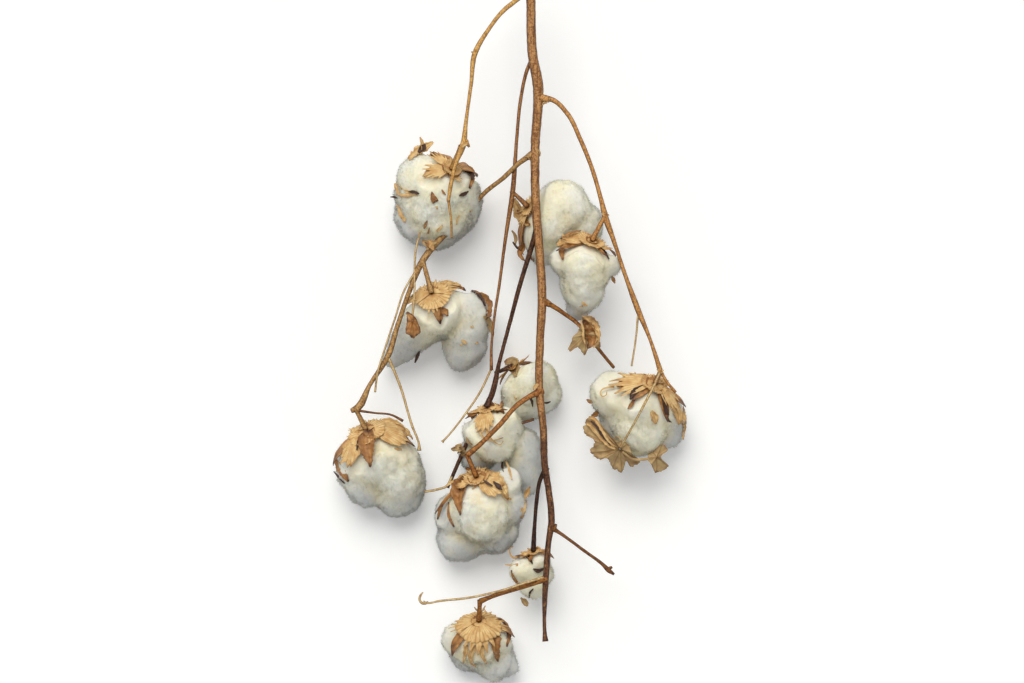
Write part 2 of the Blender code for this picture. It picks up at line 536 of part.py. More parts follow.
class Form:
    """A boll's own space: its axis, and the smoothed form of its lint that the shells lie on."""

    def __init__(self, boll):
        self.boll = boll
        self.centre = np.array(boll.centre, float)
        self.samples = even_directions(CARRIER_SAMPLES)
        self.reach = lint_reach(boll, self.samples)
        axis = np.array(boll.base, float) - self.centre
        self.axis = axis / np.linalg.norm(axis)
        front = np.array((0, 0, 1)) - self.axis[2] * self.axis
        self.front = front / np.linalg.norm(front)
        self.side = np.cross(self.axis, self.front)

    def carrier(self, directions):
        weights = np.exp(CARRIER_SPREAD * (directions @ self.samples.T - 1))
        return weights @ self.reach / weights.sum(axis=1)

    def polar(self, point):
        """A point's angle from the axis and its turn round it."""
        towards = np.array(point, float) - self.centre
        towards /= np.linalg.norm(towards)
        turn = math.atan2(towards @ self.side, towards @ self.front)
        return math.acos(towards @ self.axis), turn

    def direction(self, angle, turn):
        out = math.cos(turn) * self.front + math.sin(turn) * self.side
        return math.cos(angle) * self.axis + math.sin(angle) * out

    def outline(self, blades, edge, cap):
        """The shell's edge as sorted (turn, angle, share of the reach)."""
        rim = []
        for tip, half_width in blades:
            angle, turn = self.polar(tip)
            for across, reach in edge:
                rim.append((turn + across * math.radians(half_width), angle * reach, reach))
        rim = sorted(((turn + math.pi) % (2 * math.pi), angle, share) for turn, angle, share in rim)
        least = cap * max(angle for _, angle, _ in rim)
        full = list(rim)
        for (start, *_), (end, *_) in zip(rim, rim[1:] + [(rim[0][0] + 2 * math.pi, 0, 0)]):
            if end - start > math.radians(OPEN_TURN):
                full.append(((start + end) / 2, least, cap))
        return sorted((turn - math.pi, angle, share) for turn, angle, share in full)

    def shell(self, name, blades, edge, cap, inner, thickness, colour):
        """A ring of blades that lies on the lint, joined round the boll's axis."""
        rim = self.outline(blades, edge, cap)
        shares = (np.arange(SHELL_RINGS) + 1) / SHELL_RINGS
        rays = np.array([[self.direction(a * s, turn) for turn, a, _ in rim] for s in shares])
        lift = np.array([[self.boll.tip_lift * (s * share) ** 3 for _, _, share in rim] for s in shares])
        flat = rays.reshape(-1, 3)
        middle = self.axis[None]

        def layer(height):
            reach = self.carrier(flat) + lift.reshape(-1) + height
            return (self.centre + flat * reach[:, None]).reshape(rays.shape)

        def pole(height):
            return self.centre + self.axis * (self.carrier(middle)[0] + height)

        top, bottom = layer(inner + thickness), layer(inner)
        made = sheet(name, pole(inner + thickness), top, pole(inner), bottom, colour)
        return made, np.concatenate([middle, flat, (rays[:-1] + rays[1:]).reshape(-1, 3)])

    def pedicel_seat(self):
        """Where the pedicel ends, on the bracts' middle."""
        height = self.carrier(self.axis[None])[0] + BRACT_INNER + BRACT_THICKNESS + GAP
        return self.centre + self.axis * height

    def lint(self, name, covered):
        """The burst locks as one solid, pressed in under the shells and flat on the surface."""
        area = 4 * math.pi * np.mean(self.reach**2)
        directions = even_directions(int(area / LINT_FACET**2))
        reach = lint_reach(self.boll, directions)
        for i, ray in enumerate(directions):
            spot = Vector(self.centre + ray * reach[i]) / LUMP_SIZE
            reach[i] += LUMP_DEPTH * noise.noise(spot)
        covered = covered / np.linalg.norm(covered, axis=1)[:, None]
        near = (directions @ covered.T).max(axis=1) > math.cos(math.radians(PRESSED_ANGLE))
        pressed = self.carrier(directions) + VALVE_INNER - LINT_PRESSED * self.reach.mean()
        reach = np.where(near, np.minimum(reach, pressed), reach)
        falling = directions[:, 2] < 0
        reach[falling] = np.minimum(reach[falling], self.centre[2] / -directions[falling, 2])
        hull = bmesh.new()
        for ray in directions:
            hull.verts.new(ray)
        bmesh.ops.convex_hull(hull, input=hull.verts)
        hull.verts.index_update()
        faces = [tuple(vertex.index for vertex in face.verts) for face in hull.faces]
        hull.free()
        return add_object(name, self.centre + directions * reach[:, None], faces, LINT)


def wooden_branch(branch, forms):
    """A fruiting branch with its pedicels and petioles, as one solid."""
    runs = list(branch.runs)
    for number, start in branch.pedicels.items():
        runs.append([*start, (*forms[number].pedicel_seat(), PEDICEL_END)])
    pieces = [tube(f"{branch.name}_{i}", run, branch.colour) for i, run in enumerate(runs)]
    return joined(branch.name, pieces)


def dry_leaves():
    """The withered leaves and the bract that hang on the branches."""
    large = [
        leaf("large_dry_leaf", *LARGE_LEAF, LEAF),
        leaf("leaf_scrap", *LEAF_SCRAP, LEAF),
        tube("leaf_stalk", LEAF_STALK, LEAF),
    ]
    return [
        leaf("small_dry_leaf", *SMALL_LEAF, LEAF),
        joined("large_dry_leaf", large),
        leaf("hanging_bract", *HANGING_BRACT, BRACT),
    ]


def main():
    clear_scene()
    forms = {number: Form(boll) for number, boll in BOLLS.items()}
    placed = [joined("main_stem", [tube("main_stem", MAIN_STEM, TAN_WOOD)])]
    for branch in BRANCHES:
        made = wooden_branch(branch, forms)
        keep_clear(made, placed)
        placed.append(made)
    for made in dry_leaves():
        keep_clear(made, placed)
        placed.append(made)
    covered = {}
    for kind in ("bracts", "bur"):
        for number in LINT_ORDER:
            form, name = forms[number], f"boll_{number:02d}_{kind}"
            boll = form.boll
            if kind == "bracts":
                look = (boll.bracts, BRACT_EDGE, boll.cap, BRACT_INNER, BRACT_THICKNESS, BRACT)
            else:
                look = (boll.valves, VALVE_EDGE, VALVE_CAP, VALVE_INNER, VALVE_THICKNESS, BUR)
            made, rays = form.shell(name, *look)
            keep_clear(made, placed)
            placed.append(made)
            covered.setdefault(number, []).append(rays)
    for number in LINT_ORDER:
        made = forms[number].lint(f"boll_{number:02d}_lint", np.concatenate(covered[number]))
        keep_clear(made, placed)
        placed.append(made)


main()
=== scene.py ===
"""The looks of a cut, dried cotton branch that lies on a pale floor, seen from above.

Every solid of the part is replaced by a finer piece of the same form: fluffy lint with loose
fibres, papery toothed bracts, curled valves, bark and withered leaves. The tables repeat the
part's own lengths in millimetres and angles in degrees, and MM turns the lengths into metres.
"""

import math
from collections import namedtuple

import bmesh
import bpy
import numpy as np
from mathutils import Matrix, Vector, noise
from mathutils.bvhtree import BVHTree
from mathutils.kdtree import KDTree

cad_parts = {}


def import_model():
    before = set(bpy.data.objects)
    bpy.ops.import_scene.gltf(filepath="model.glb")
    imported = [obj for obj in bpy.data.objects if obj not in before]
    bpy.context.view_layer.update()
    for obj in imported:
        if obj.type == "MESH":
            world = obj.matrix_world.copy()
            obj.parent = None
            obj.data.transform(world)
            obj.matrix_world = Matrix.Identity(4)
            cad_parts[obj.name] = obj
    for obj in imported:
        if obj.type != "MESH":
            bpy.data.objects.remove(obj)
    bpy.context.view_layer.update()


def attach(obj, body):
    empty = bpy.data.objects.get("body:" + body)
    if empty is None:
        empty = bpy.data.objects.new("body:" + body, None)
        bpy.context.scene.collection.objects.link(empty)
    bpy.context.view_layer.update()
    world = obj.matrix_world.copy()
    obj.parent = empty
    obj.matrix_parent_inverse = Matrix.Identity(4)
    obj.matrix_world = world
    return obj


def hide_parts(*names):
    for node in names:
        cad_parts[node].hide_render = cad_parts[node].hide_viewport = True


MM = 0.001

# Wood.
STEM_SIDES = 18
TWIG_SIDES = 12
STEM_TWIG_LIMIT = 2.9
RING_STEP = 1.6
BARK_DEPTH = 0.07  # how far the bark's ridges stand out, as a share of the radius
PEDICEL_END = 2.1
# Distances and radii along the flare at the foot of a run, in radii of its start.
FOOT = ((-0.5, 1.3), (1.0, 1.17), (3.4, 0.93))

# Lint.
LINT_CELL = 1.0  # area of lint for each point of its mesh
LINT_BLEND = 2.0
LUMP_SIZE = 12.0
LUMP_DEPTH = 1.4
PUFFS = ((10.0, 1.3), (4.6, 0.45), (2.1, 0.3))  # size and depth of the tufts on the lumps
CARRIER_SPREAD = 14.0
PRESSED_DEPTH = 0.9  # how far the lint lies below the shells on it
PRESSED_ANGLE = (5.0, 21.0)  # where that is in full, and where it ends
# Area of lint for each loose fibre, its parts, its least and greatest length, its radius, and how
# much the lint under it may face upward.
FIBRES = (
    (2.0, 1, 1.3, 2.6, 0.16, 1.0),
    (7.5, 2, 2.0, 4.4, 0.11, 1.0),
    (1.2, 1, 1.0, 2.5, 0.42, 0.5),
)
# Painted shade: the lint turns grey from the first depth below the boll's top, and is grey after the
# second more:
# for the top of a lock, and for a point.
SHADED_REAR_LOCK = (6, 11)
SHADED_LOW_LINT = (19, 14)
FREE_LINT = 0.6  # how free of the shells the lint is where fibres grow
FIBRE_FLOOR = 2.0  # the least height at which they do

# Shells and scraps.
VALVE_INNER = -0.5
BRACT_INNER = 1.3
VALVE_CAP = 0.16
CAP_TEETH = 28
CAP_ROWS = 12
CAP_RIBS = 0.5
CAP_FRINGE = 0.08  # how much the cap's edge wavers, and the same for its teeth
CAP_STEPS, TOOTH_STEPS, POINT_STEPS = 4, 7, 22  # columns for each tooth of a cap, a bract, a valve
TOOTH_LENGTH = (0.82, 1.06)
BLADE_STEP = 0.35  # how far each blade lies over the one before
SCRAP_STEP = 0.95
SCRAP_COLUMNS = 9
LEAF_STEPS, LEAF_RINGS = 16, 17
POLE_TINT = 0.12  # how far the brown round the pedicel spreads, in radians
LEAF_THICKNESS = 0.5


def path(text):
    """The points of a text: commas part them, and blanks part their numbers."""
    return [tuple(float(number) for number in point.split()) for point in text.split(",")]


def paths(text):
    """The same for texts with semicolons between them."""
    return [path(part) for part in text.split(";")]


def scraps(text):
    """Scraps from a text of "kind lift cup: points", with semicolons between them."""
    made = []
    for scrap in text.split(";"):
        look, points = scrap.split(":")
        kind, lift, cup = look.split()
        made.append((kind, float(lift), float(cup), path(points)))
    return made


# A run of wood is a list of (x, y, z, radius), from its root to its end.
Branch = namedtuple("Branch", "name colour runs pedicels", defaults=({},))
# A lock of lint is a ball (x, y, z, radius). A blade is the point (x, y, z) it reaches towards
# and its half width as an angle round the boll's axis. Bracts grown together at their base form a
# cap, whose reach between two blades is that share of the longest blade's.
Boll = namedtuple("Boll", "base centre locks valves bracts tip_lift cap", defaults=(1.5, 0.3))

MAIN_STEM = path("""
    14.5 266.5 57 3.4, 15.5 245.5 57 3.4, 17 203 56.5 3.6, 21 179.5 56 3.9, 21 169 56 3.7,
    19 138.5 55 3.4, 19.5 88 53.5 3.2, 22.5 50.5 53 3.1, 24 20.5 52.5 3.2, 22.5 -9.5 51 2.95,
    22 -47 49.5 2.9, 25 -77 49 2.65, 26 -103 48.5 2.6, 29 -122 48 2.4, 31 -146 48 2.5,
    29 -159.5 47.5 2.2, 27 -185.5 47 2.3, 26 -204.5 46.5 1.9, 26 -228.5 46 1.5,
    26.5 -235 46 2.3""")

BRANCHES = [
    Branch("upper_left_branch", "tan_wood", paths("""
        15 253 57 2.2, 6 245.5 58 1.9, -5 236.5 60 1.7, -17 221 62 1.6, -26 205 63 2.1,
            -29 182 64 1.45, -33 152 66 1.5, -35 136 67 2.3, -40.5 122 69 1.6, -44 107 69.5 1.6,
            -46 94 68 1.3;
        -46 95.5 68 1, -44 80.5 64 0.8, -43.5 67 58 0.8;
        -32.5 139 67 1.2, -30.5 134.5 68 0.9"""), {
        1: path("-37 134.5 66 1.6"),
    }),
    Branch("long_left_branch", "tan_wood", paths("""
        19.5 131.5 54 2.4, 7.5 123.5 50 1.9, -5 112 44 1.7, -19 101 36 1.7, -31.5 86.5 30 1.8,
            -43.5 74 34 1.9, -55 63.5 40 2.3, -66 49 44 2.5, -75 28 44.5 1.8, -84 2 45 1.8,
            -91.5 -21.5 45 2.2, -105 -43 46 1.6, -115.5 -61 46 2.4, -119 -62.5 46.5 1.7;
        -67 47.5 45 0.9, -79 28 47 0.75, -86 7 47.5 0.75, -94 -17 48 0.75, -99 -33.5 48 0.75,
            -101 -48.5 47 0.8;
        -67 72.5 46 0.7, -70.5 58 47 0.8, -71.5 40 46 0.8, -71.5 28 51 0.8, -72 17 54.5 0.8,
            -73 8 55.5 0.9;
        -91.5 -21.5 45 1.2, -82.5 -43 46 1, -73.5 -73 46 1, -68 -89 45 1.1, -68 -92 44.5 1.8;
        -115.5 -62 46 1.1, -101 -64 48 0.8, -88.5 -65.5 49 0.8, -80 -70 48 1.1"""), {
        2: path("-65 49 44 1.5"),
        3: path("-115.5 -61 46 1.6"),
    }),
    Branch("back_left_branch", "brown_wood", paths("""
        17 202 56 1.6, 13 193 53 1.4, 8 170.5 50 1.3, 5 140.5 47 1.25, 2 101.5 44 1.9,
            -3 69.5 40 1.3, -8 32 37 1.1, -12 5.5 35 1, -14 -17 33 1, -14 -32 31 1.4;
        -14 -31 31 0.9, -22.5 -48.5 32 0.8, -34 -65.5 33 0.8, -49.5 -84.5 33 0.8, -51 -86 33 1.3"""), {
        4: path("2 101.5 44 1.3"),
    }),
    Branch("right_branch", "tan_wood", paths("""
        21 172 56 2.6, 32 170 57.5 1.9, 43 159.5 59 1.7, 52.5 140.5 60 1.65, 61.5 118 60 1.6,
            68 95.5 60 1.7, 71 83.5 60 2.3, 78 63.5 58 1.6, 86 39.5 55 1.5, 96 12.5 52 2.1,
            105 -9.5 51 1.3, 112.5 -32.5 50.5 2;
        96 11.5 52 0.9, 94 -9.5 49 0.75, 91 -29 47 0.75;
        112.5 -32.5 51 1, 106.5 -45.5 60 1, 101 -56 63 1, 92 -73 59 0.8, 82.5 -90 49 1;
        112.5 -32.5 50 1.2, 118 -41.5 49 1.1, 124 -48.5 47 1.1"""), {
        5: path("71 83.5 60 1.5"),
        6: path("112.5 -32.5 50.5 1.6"),
    }),
    Branch("dark_branch", "dark_wood", paths("""
        20 73 53 2.1, 15 56.5 50 1.9, 7.5 32 45 1.7, 0 4 39 1.5, -8 -26 34 1.5,
            -15 -53.5 30 2.2, -23 -66.5 27 1.5, -31.5 -84.5 24 1.5, -37.5 -98.5 22 1.5,
            -47 -120.5 21 1.3;
        -43.5 -112 22 1, -48 -119.5 23.5 0.9, -54 -121.5 24.5 0.9, -64.5 -123.5 26 0.9;
        -15 -55 30 1, -3 -69 31 1, 8 -71.5 30 1, 18 -69 28 1"""), {
        7: path("-10.5 -34 33 1.2"),
        8: path("-15 -53.5 30 1.4"),
    }),
    Branch("front_branch", "tan_wood", paths("""
        23 -47.5 49.5 2.4, 15 -51.5 54 2.1, 6 -57.5 57 1.9, -7.5 -72.5 58 1.9,
            -22.5 -87.5 56 1.9, -32 -95.5 54 2.4"""), {
        9: path("-32 -95.5 54 1.7"),
    }),
    Branch("short_dark_branch", "dark_wood", [], {
        10: path("27 -105.5 48 1.9, 23 -113 46 1.6, 20 -129.5 43 1.5, 18.5 -148 40 1.5"),
    }),
    Branch("bare_twig", "tan_wood", paths("""
        30 -149 48 1.8, 39 -155 47 1.3, 56 -167.5 45 1.2, 70 -178 43 1.4, 74 -182 42 1.8,
            78 -185 41.5 0.9;
        73 -181 42 1.1, 76.5 -179.5 43 0.8;
        33 -151.5 47.5 1.2, 34.5 -147 48 0.8""")),
    Branch("lowest_branch", "tan_wood", paths("""
        27 -188 47 2.1, 15 -192.5 47 1.8, 0 -197 46.5 1.7, -15 -202 46 1.7, -22.5 -205 46 2.2;
        25 -187 48 1.2, 10 -191.5 51.5 0.9, -7.5 -197 52 0.9, -30 -202 53 0.9,
            -52.5 -204.5 53 0.9, -63 -206 53 1, -65 -205.5 53 1.5"""), {
        11: path("-22.5 -205 46 1.6"),
    }),
    Branch("leaf_branch", "tan_wood", paths("""
        23 20.5 52.5 2.3, 32 16 51 1.9, 41 10 48 1.6, 50 3.5 43 1.5, 60 -8 34 1.4,
            70 -20.5 24 1.3, 78 -30 16 1.3;
        47 6 45 1, 51 2 48 0.9, 54 -1 49 0.9""")),
]

BOLLS = {
    1: Boll((-41, 124, 57), (-54, 97, 30), *paths("""
        -64.5 110.5 28 20, -67.5 83 17.5 19, -39.5 103 30 16, -42 85 17 16.5, -54 77 16.5 18,
            -52.5 103 32 25, -66 97 24 19.5, -40 94 24 18.5, -53 90 27 24;
        -60 131 40 16, -31 101 42 14, -60 118 10 18, -28 112 15 18;
        -67 112 54 34, -37 106 56 24, -62 132 42 30"""), tip_lift=3),
    2: Boll((-59, 27.5, 50), (-52.5, -2, 27), *paths("""
        -33 11.5 24 17, -34.5 -13 15 16.5, -38 -25 15 8, -66 2 28 15, -79.5 -13 18 12,
            -88 -23 15 7, -55 13 33 20, -34 -1 21 17.5, -73 -5 24 13.5;
        -53 3 52 18, -34 28 16 18, -76 24 22 16, -48 26 6 18;
        -57 8 54 56, -37 32 36 36, -79 17 38 34"""), cap=0.62),
    3: Boll((-109.5, -73, 46), (-94, -107, 25), *paths("""
        -116 -99.5 26 17, -108 -120.5 22 14, -87 -101 26 18.5, -84 -123.5 17 18.5,
            -100 -95.5 32 22, -96 -85.5 28 17, -85 -112 24 20.5, -112 -110 24.5 16;
        -104 -103 52 26, -70 -88 34 14, -128 -104 28 16, -100 -84 4 18;
        -72 -84 42 40, -120 -106 44 32, -114 -80 20 30"""), cap=0.42),
    4: Boll((13, 91, 40), (41, 74.5, 26), *paths("""
        39 90.5 30 20, 52.5 77 22 17, 46.5 62 16 17.5, 26 65.5 24 18, 13 67 22 9, 30 80.5 29 21;
        8 52 24 16, 26 62 10 16, 18 106 34 14, 20 80 4 18;
        6 74 38 34, 14 108 40 34, 12 88 14 34""")),
    5: Boll((61.5, 65.5, 58), (55, 42, 45), *paths("""
        40 50 47 10.5, 55 49 51 17, 73 47.5 47 10, 55 28 42 15, 51 14.5 35 9, 55 38 46.5 16.5;
        40 53 56 16, 68 50 60 12, 80 53 38 15, 50 62 30 18;
        39 64 50 46, 73 55 56 30, 66 62 42 30"""), tip_lift=3.5, cap=0.45),
    6: Boll((109, -41, 48), (95, -71, 28), *paths("""
        78 -50.5 30 17.5, 82.5 -68 22 15, 98 -75.5 30 20, 115.5 -65.5 24 16, 118 -77 18 13,
            97.5 -73 16.5 18, 100.5 -58 34 22;
        91 -55 56 18, 118 -71 50 18, 132 -60 30 16, 95 -48 6 18;
        73 -48 46 40, 127 -66 42 34, 116 -40 26 34"""), tip_lift=2),
    7: Boll((4, -32, 24), (15, -48.5, 20), *paths("""
        21 -39.5 22 14, 7 -45.5 20 13.5, 25 -50 16 13, 6 -58 14 12, 15 -54.5 13 14,
            14 -42.5 22 15;
        0 -28 16 16, 14 -26 22 16, 18 -32 8 18, -4 -44 10 16;
        1 -30 36 32, 16 -26 16 34, -5 -44 16 34"""), tip_lift=3.5),
    8: Boll((-17, -60.5, 33), (-7.5, -88, 21), *paths("""
        -23 -77 26 13, -11 -84.5 30 16.5, -5 -74.5 26 14, 9 -89.5 17 14, 9 -107 13 14,
            13 -117.5 12 9, -24 -95.5 12.5 14, -12 -77 26 17, 9 -98 15.5 14.5;
        -32 -70 30 14, -2 -63 36 14, -10 -66 8 18, -28 -72 10 16;
        -20 -81 48 38, -5 -64 36 30, -31 -66 26 32""")),
    9: Boll((-25.5, -109, 50), (-22, -144.5, 28), *paths("""
        -21 -140.5 34 20.5, -41 -140.5 26 15.5, -37.5 -158.5 16.5 17.5, -19 -154 14 15,
            -11 -152 20 17, -1.5 -133 28 14, -3 -116 36 11, -23 -131 36 22, -13 -119 34 12;
        -36 -137 60 18, -56 -140 36 8, 10 -118 24 14, -20 -118 6 18;
        -3 -122 62 40, -44 -116 56 24, -24 -106 26 36"""), tip_lift=2.5, cap=0.4),
    10: Boll((18, -162.5, 36), (16, -182.5, 24), *paths("""
        9 -181 26 8.5, 22.5 -174.5 28 8.5, 18 -194 22 9.5, 15 -183.5 22 11, 26 -185.5 20 7;
        1 -170 30 22, 14 -174 42 20, 32 -174 28 22, 16 -170 8 22;
        4 -166 36 24, 28 -166 38 30, 16 -164 16 34""")),
    11: Boll((-23.5, -217, 42), (-22, -240.5, 20), *paths("""
        -39 -234.5 22 12, -31 -246 13.5 12.5, -12 -249.5 14 15.5, -7.5 -234.5 22 10,
            0 -255.5 14 6, -22.5 -234.5 26 18.5;
        -43 -246 30 16, -11 -250 42 18, 4 -232 22 18, -26 -222 6 18;
        -23 -248 46 62, -2 -230 30 28, -42 -230 30 28"""), cap=0.66),
}

# A dry leaf is a middle point (x, y, z) and its edge's points, anticlockwise from above.
SMALL_LEAF = ((57, -5, 49), path("""
    43.5 -18.5 42, 51 -15 48, 56 -20.5 44, 60 -14 48, 68 -15 42, 66 -6 48, 67 2 46, 61 9 50,
    54 7 51, 52 -1 48, 47 -8 46"""))
LARGE_LEAF = ((82.5, -91, 46), path("""
    78 -84 44, 72 -77 43, 63 -67 40, 58 -69 38, 55.5 -79 36, 63 -85 42, 61 -94 37, 67 -99 38,
    73 -98 44, 77 -105 36, 84 -108.5 34, 87 -100 43, 91 -105 36, 97 -100 38, 91 -94 45,
    88 -87 45"""))
LEAF_SCRAP = ((110, -97, 38), path("""
    106 -103 40, 110 -109 33, 118.5 -104 35, 113 -97 42, 118.5 -92 34, 114 -87.5 37,
    106 -92 36, 103 -98 40"""))
LEAF_STALK = path("84 -93 45.5 1.1, 92 -98.5 42 1, 103 -98.5 39 1, 110 -97 38 0.8")
HANGING_BRACT = ((-73, 5, 56), path("""
    -77 5 55, -78 -3 54, -75 -6 57, -72 -8 55, -67 -3 54, -69 4 54, -72 9 57, -77 12 54"""))

# The runs of wood that have a look of their own, by that look and by branch.
LOOSE_RUNS = {
    "pale_stalks": {"long_left_branch": (1, 2, 3), "back_left_branch": (1,), "right_branch": (1, 2),
                    "dark_branch": (1,), "lowest_branch": (1,)},
    "brown_tendrils": {"long_left_branch": (4,), "dark_branch": (2,)},
}
# The hooked end of the lowest branch's stalk.
HOOK = path("""
    -61 -205.5 53 1, -65 -206.5 53 0.95, -67.5 -204 53 0.9, -67 -200.5 53 0.8, -65 -198 53 0.5""")
# Valves whose blade is drawn among the details below, with its bend.
REDRAWN = {1: (1,), 3: (0,), 9: (0, 2), 11: (1,)}
# How deep the teeth of those bolls' bracts are, where their edges are whole.
WHOLE = {3: 0.14, 5: 0.2, 8: 0.24, 9: 0.12}
# Scraps of bark and bud scales at the nodes of the wood, in the form of the bolls' scraps below.
NODE_SCRAPS = scraps("""
    leaf 1 1: -66 65 0.8, -61.5 62.5 2.8, -57.5 59.5 1;
    leaf 1.8 1: -62 58 0.6, -60 62 2.4, -55 64 0.8;
    bract 2.4 1: -60 66 0.6, -59 61.5 1.8, -57 57.5 0.6;
    bur 1.6 0.8: -63.5 64 0.4, -59 59 1, -54.5 58 0.4;
    bur 1.2 1.6: 54.5 5 1.4, 58.5 1 3.4, 61 -6 4.2, 60.5 -12 3, 58 -15.5 0.8;
    bract 2.6 0.8: 54 8.5 0.6, 60.5 4.5 1.6, 65.5 -2.5 2, 66 -9 1.6, 62.5 -15 0.6;
    bract 2.2 0.8: 53 5.5 0.4, 54.5 -1 0.9, 55 -8 0.8, 56.5 -13 0.3;
    bract 1.5 1: 57.5 -72 0.8, 61.5 -73.5 2.2, 67 -80 2, 73 -87.5 1.6, 79 -91 0.6;
    dark 2.6 0.4: 60.5 -70 0.4, 64.5 -74 1, 69.5 -81 1.1, 75.5 -88.5 0.5;
    bract 3 0.8: 60 -67.5 0.6, 64 -69 1.3, 68 -75.5 1.1, 74 -85 0.8, 78 -89 0.4;
    bract 0.5 0.8: 17.5 -46.5 0.5, 19.5 -44 1.8, 21 -42 0.5;
    dark 0.6 0.8: 15 -51 0.4, 16.5 -55 1.1, 17 -59.5 0.3;
    leaf 0.8 0.6: -44 -90.5 0.8, -38.5 -91 3.6, -33 -94.5 1.2;
    leaf 1.4 0.8: -37 -88 0.5, -35 -92 2.4, -36 -97 0.6;
    bract 0.6 0.8: 23 166 0.5, 26.5 168.5 1.3, 30 171.5 0.5;
    bract 0.6 0.8: 19 133.5 0.5, 21.5 131 1.4, 22.5 128 0.4;
    bract 0.6 0.8: 16 130.5 0.4, 14.5 127.5 1, 15 125 0.3;
    bract 0.5 0.8: 68.5 85.5 0.5, 71 84 1.4, 74 84 0.5;
    bract 0.5 0.8: 110 -31 0.5, 112.5 -33 1.4, 115 -32 0.5;
    bract 0.6 0.8: -36 134 0.4, -34 136.5 1.3, -31 137 0.4;
    bur 0.6 0.8: 24.5 22.5 0.5, 27.5 20 1.2, 31 18.5 0.4
""")

# How one kind of blade looks. Its edge has teeth, which are gaps of that depth between points.
Style = namedtuple("Style", "teeth depth shoulder sharp lift sway cup crumple vein thickness rows")
BRACT = Style(7, 0.36, 0.5, 1.7, 2.5, 5.0, 0.5, 1.1, 0.22, 0.35, 18)
VALVE = Style(1, 0.0, 0.3, 0.8, 2.0, 3.0, 1.6, 0.5, 0.12, 0.8, 18)

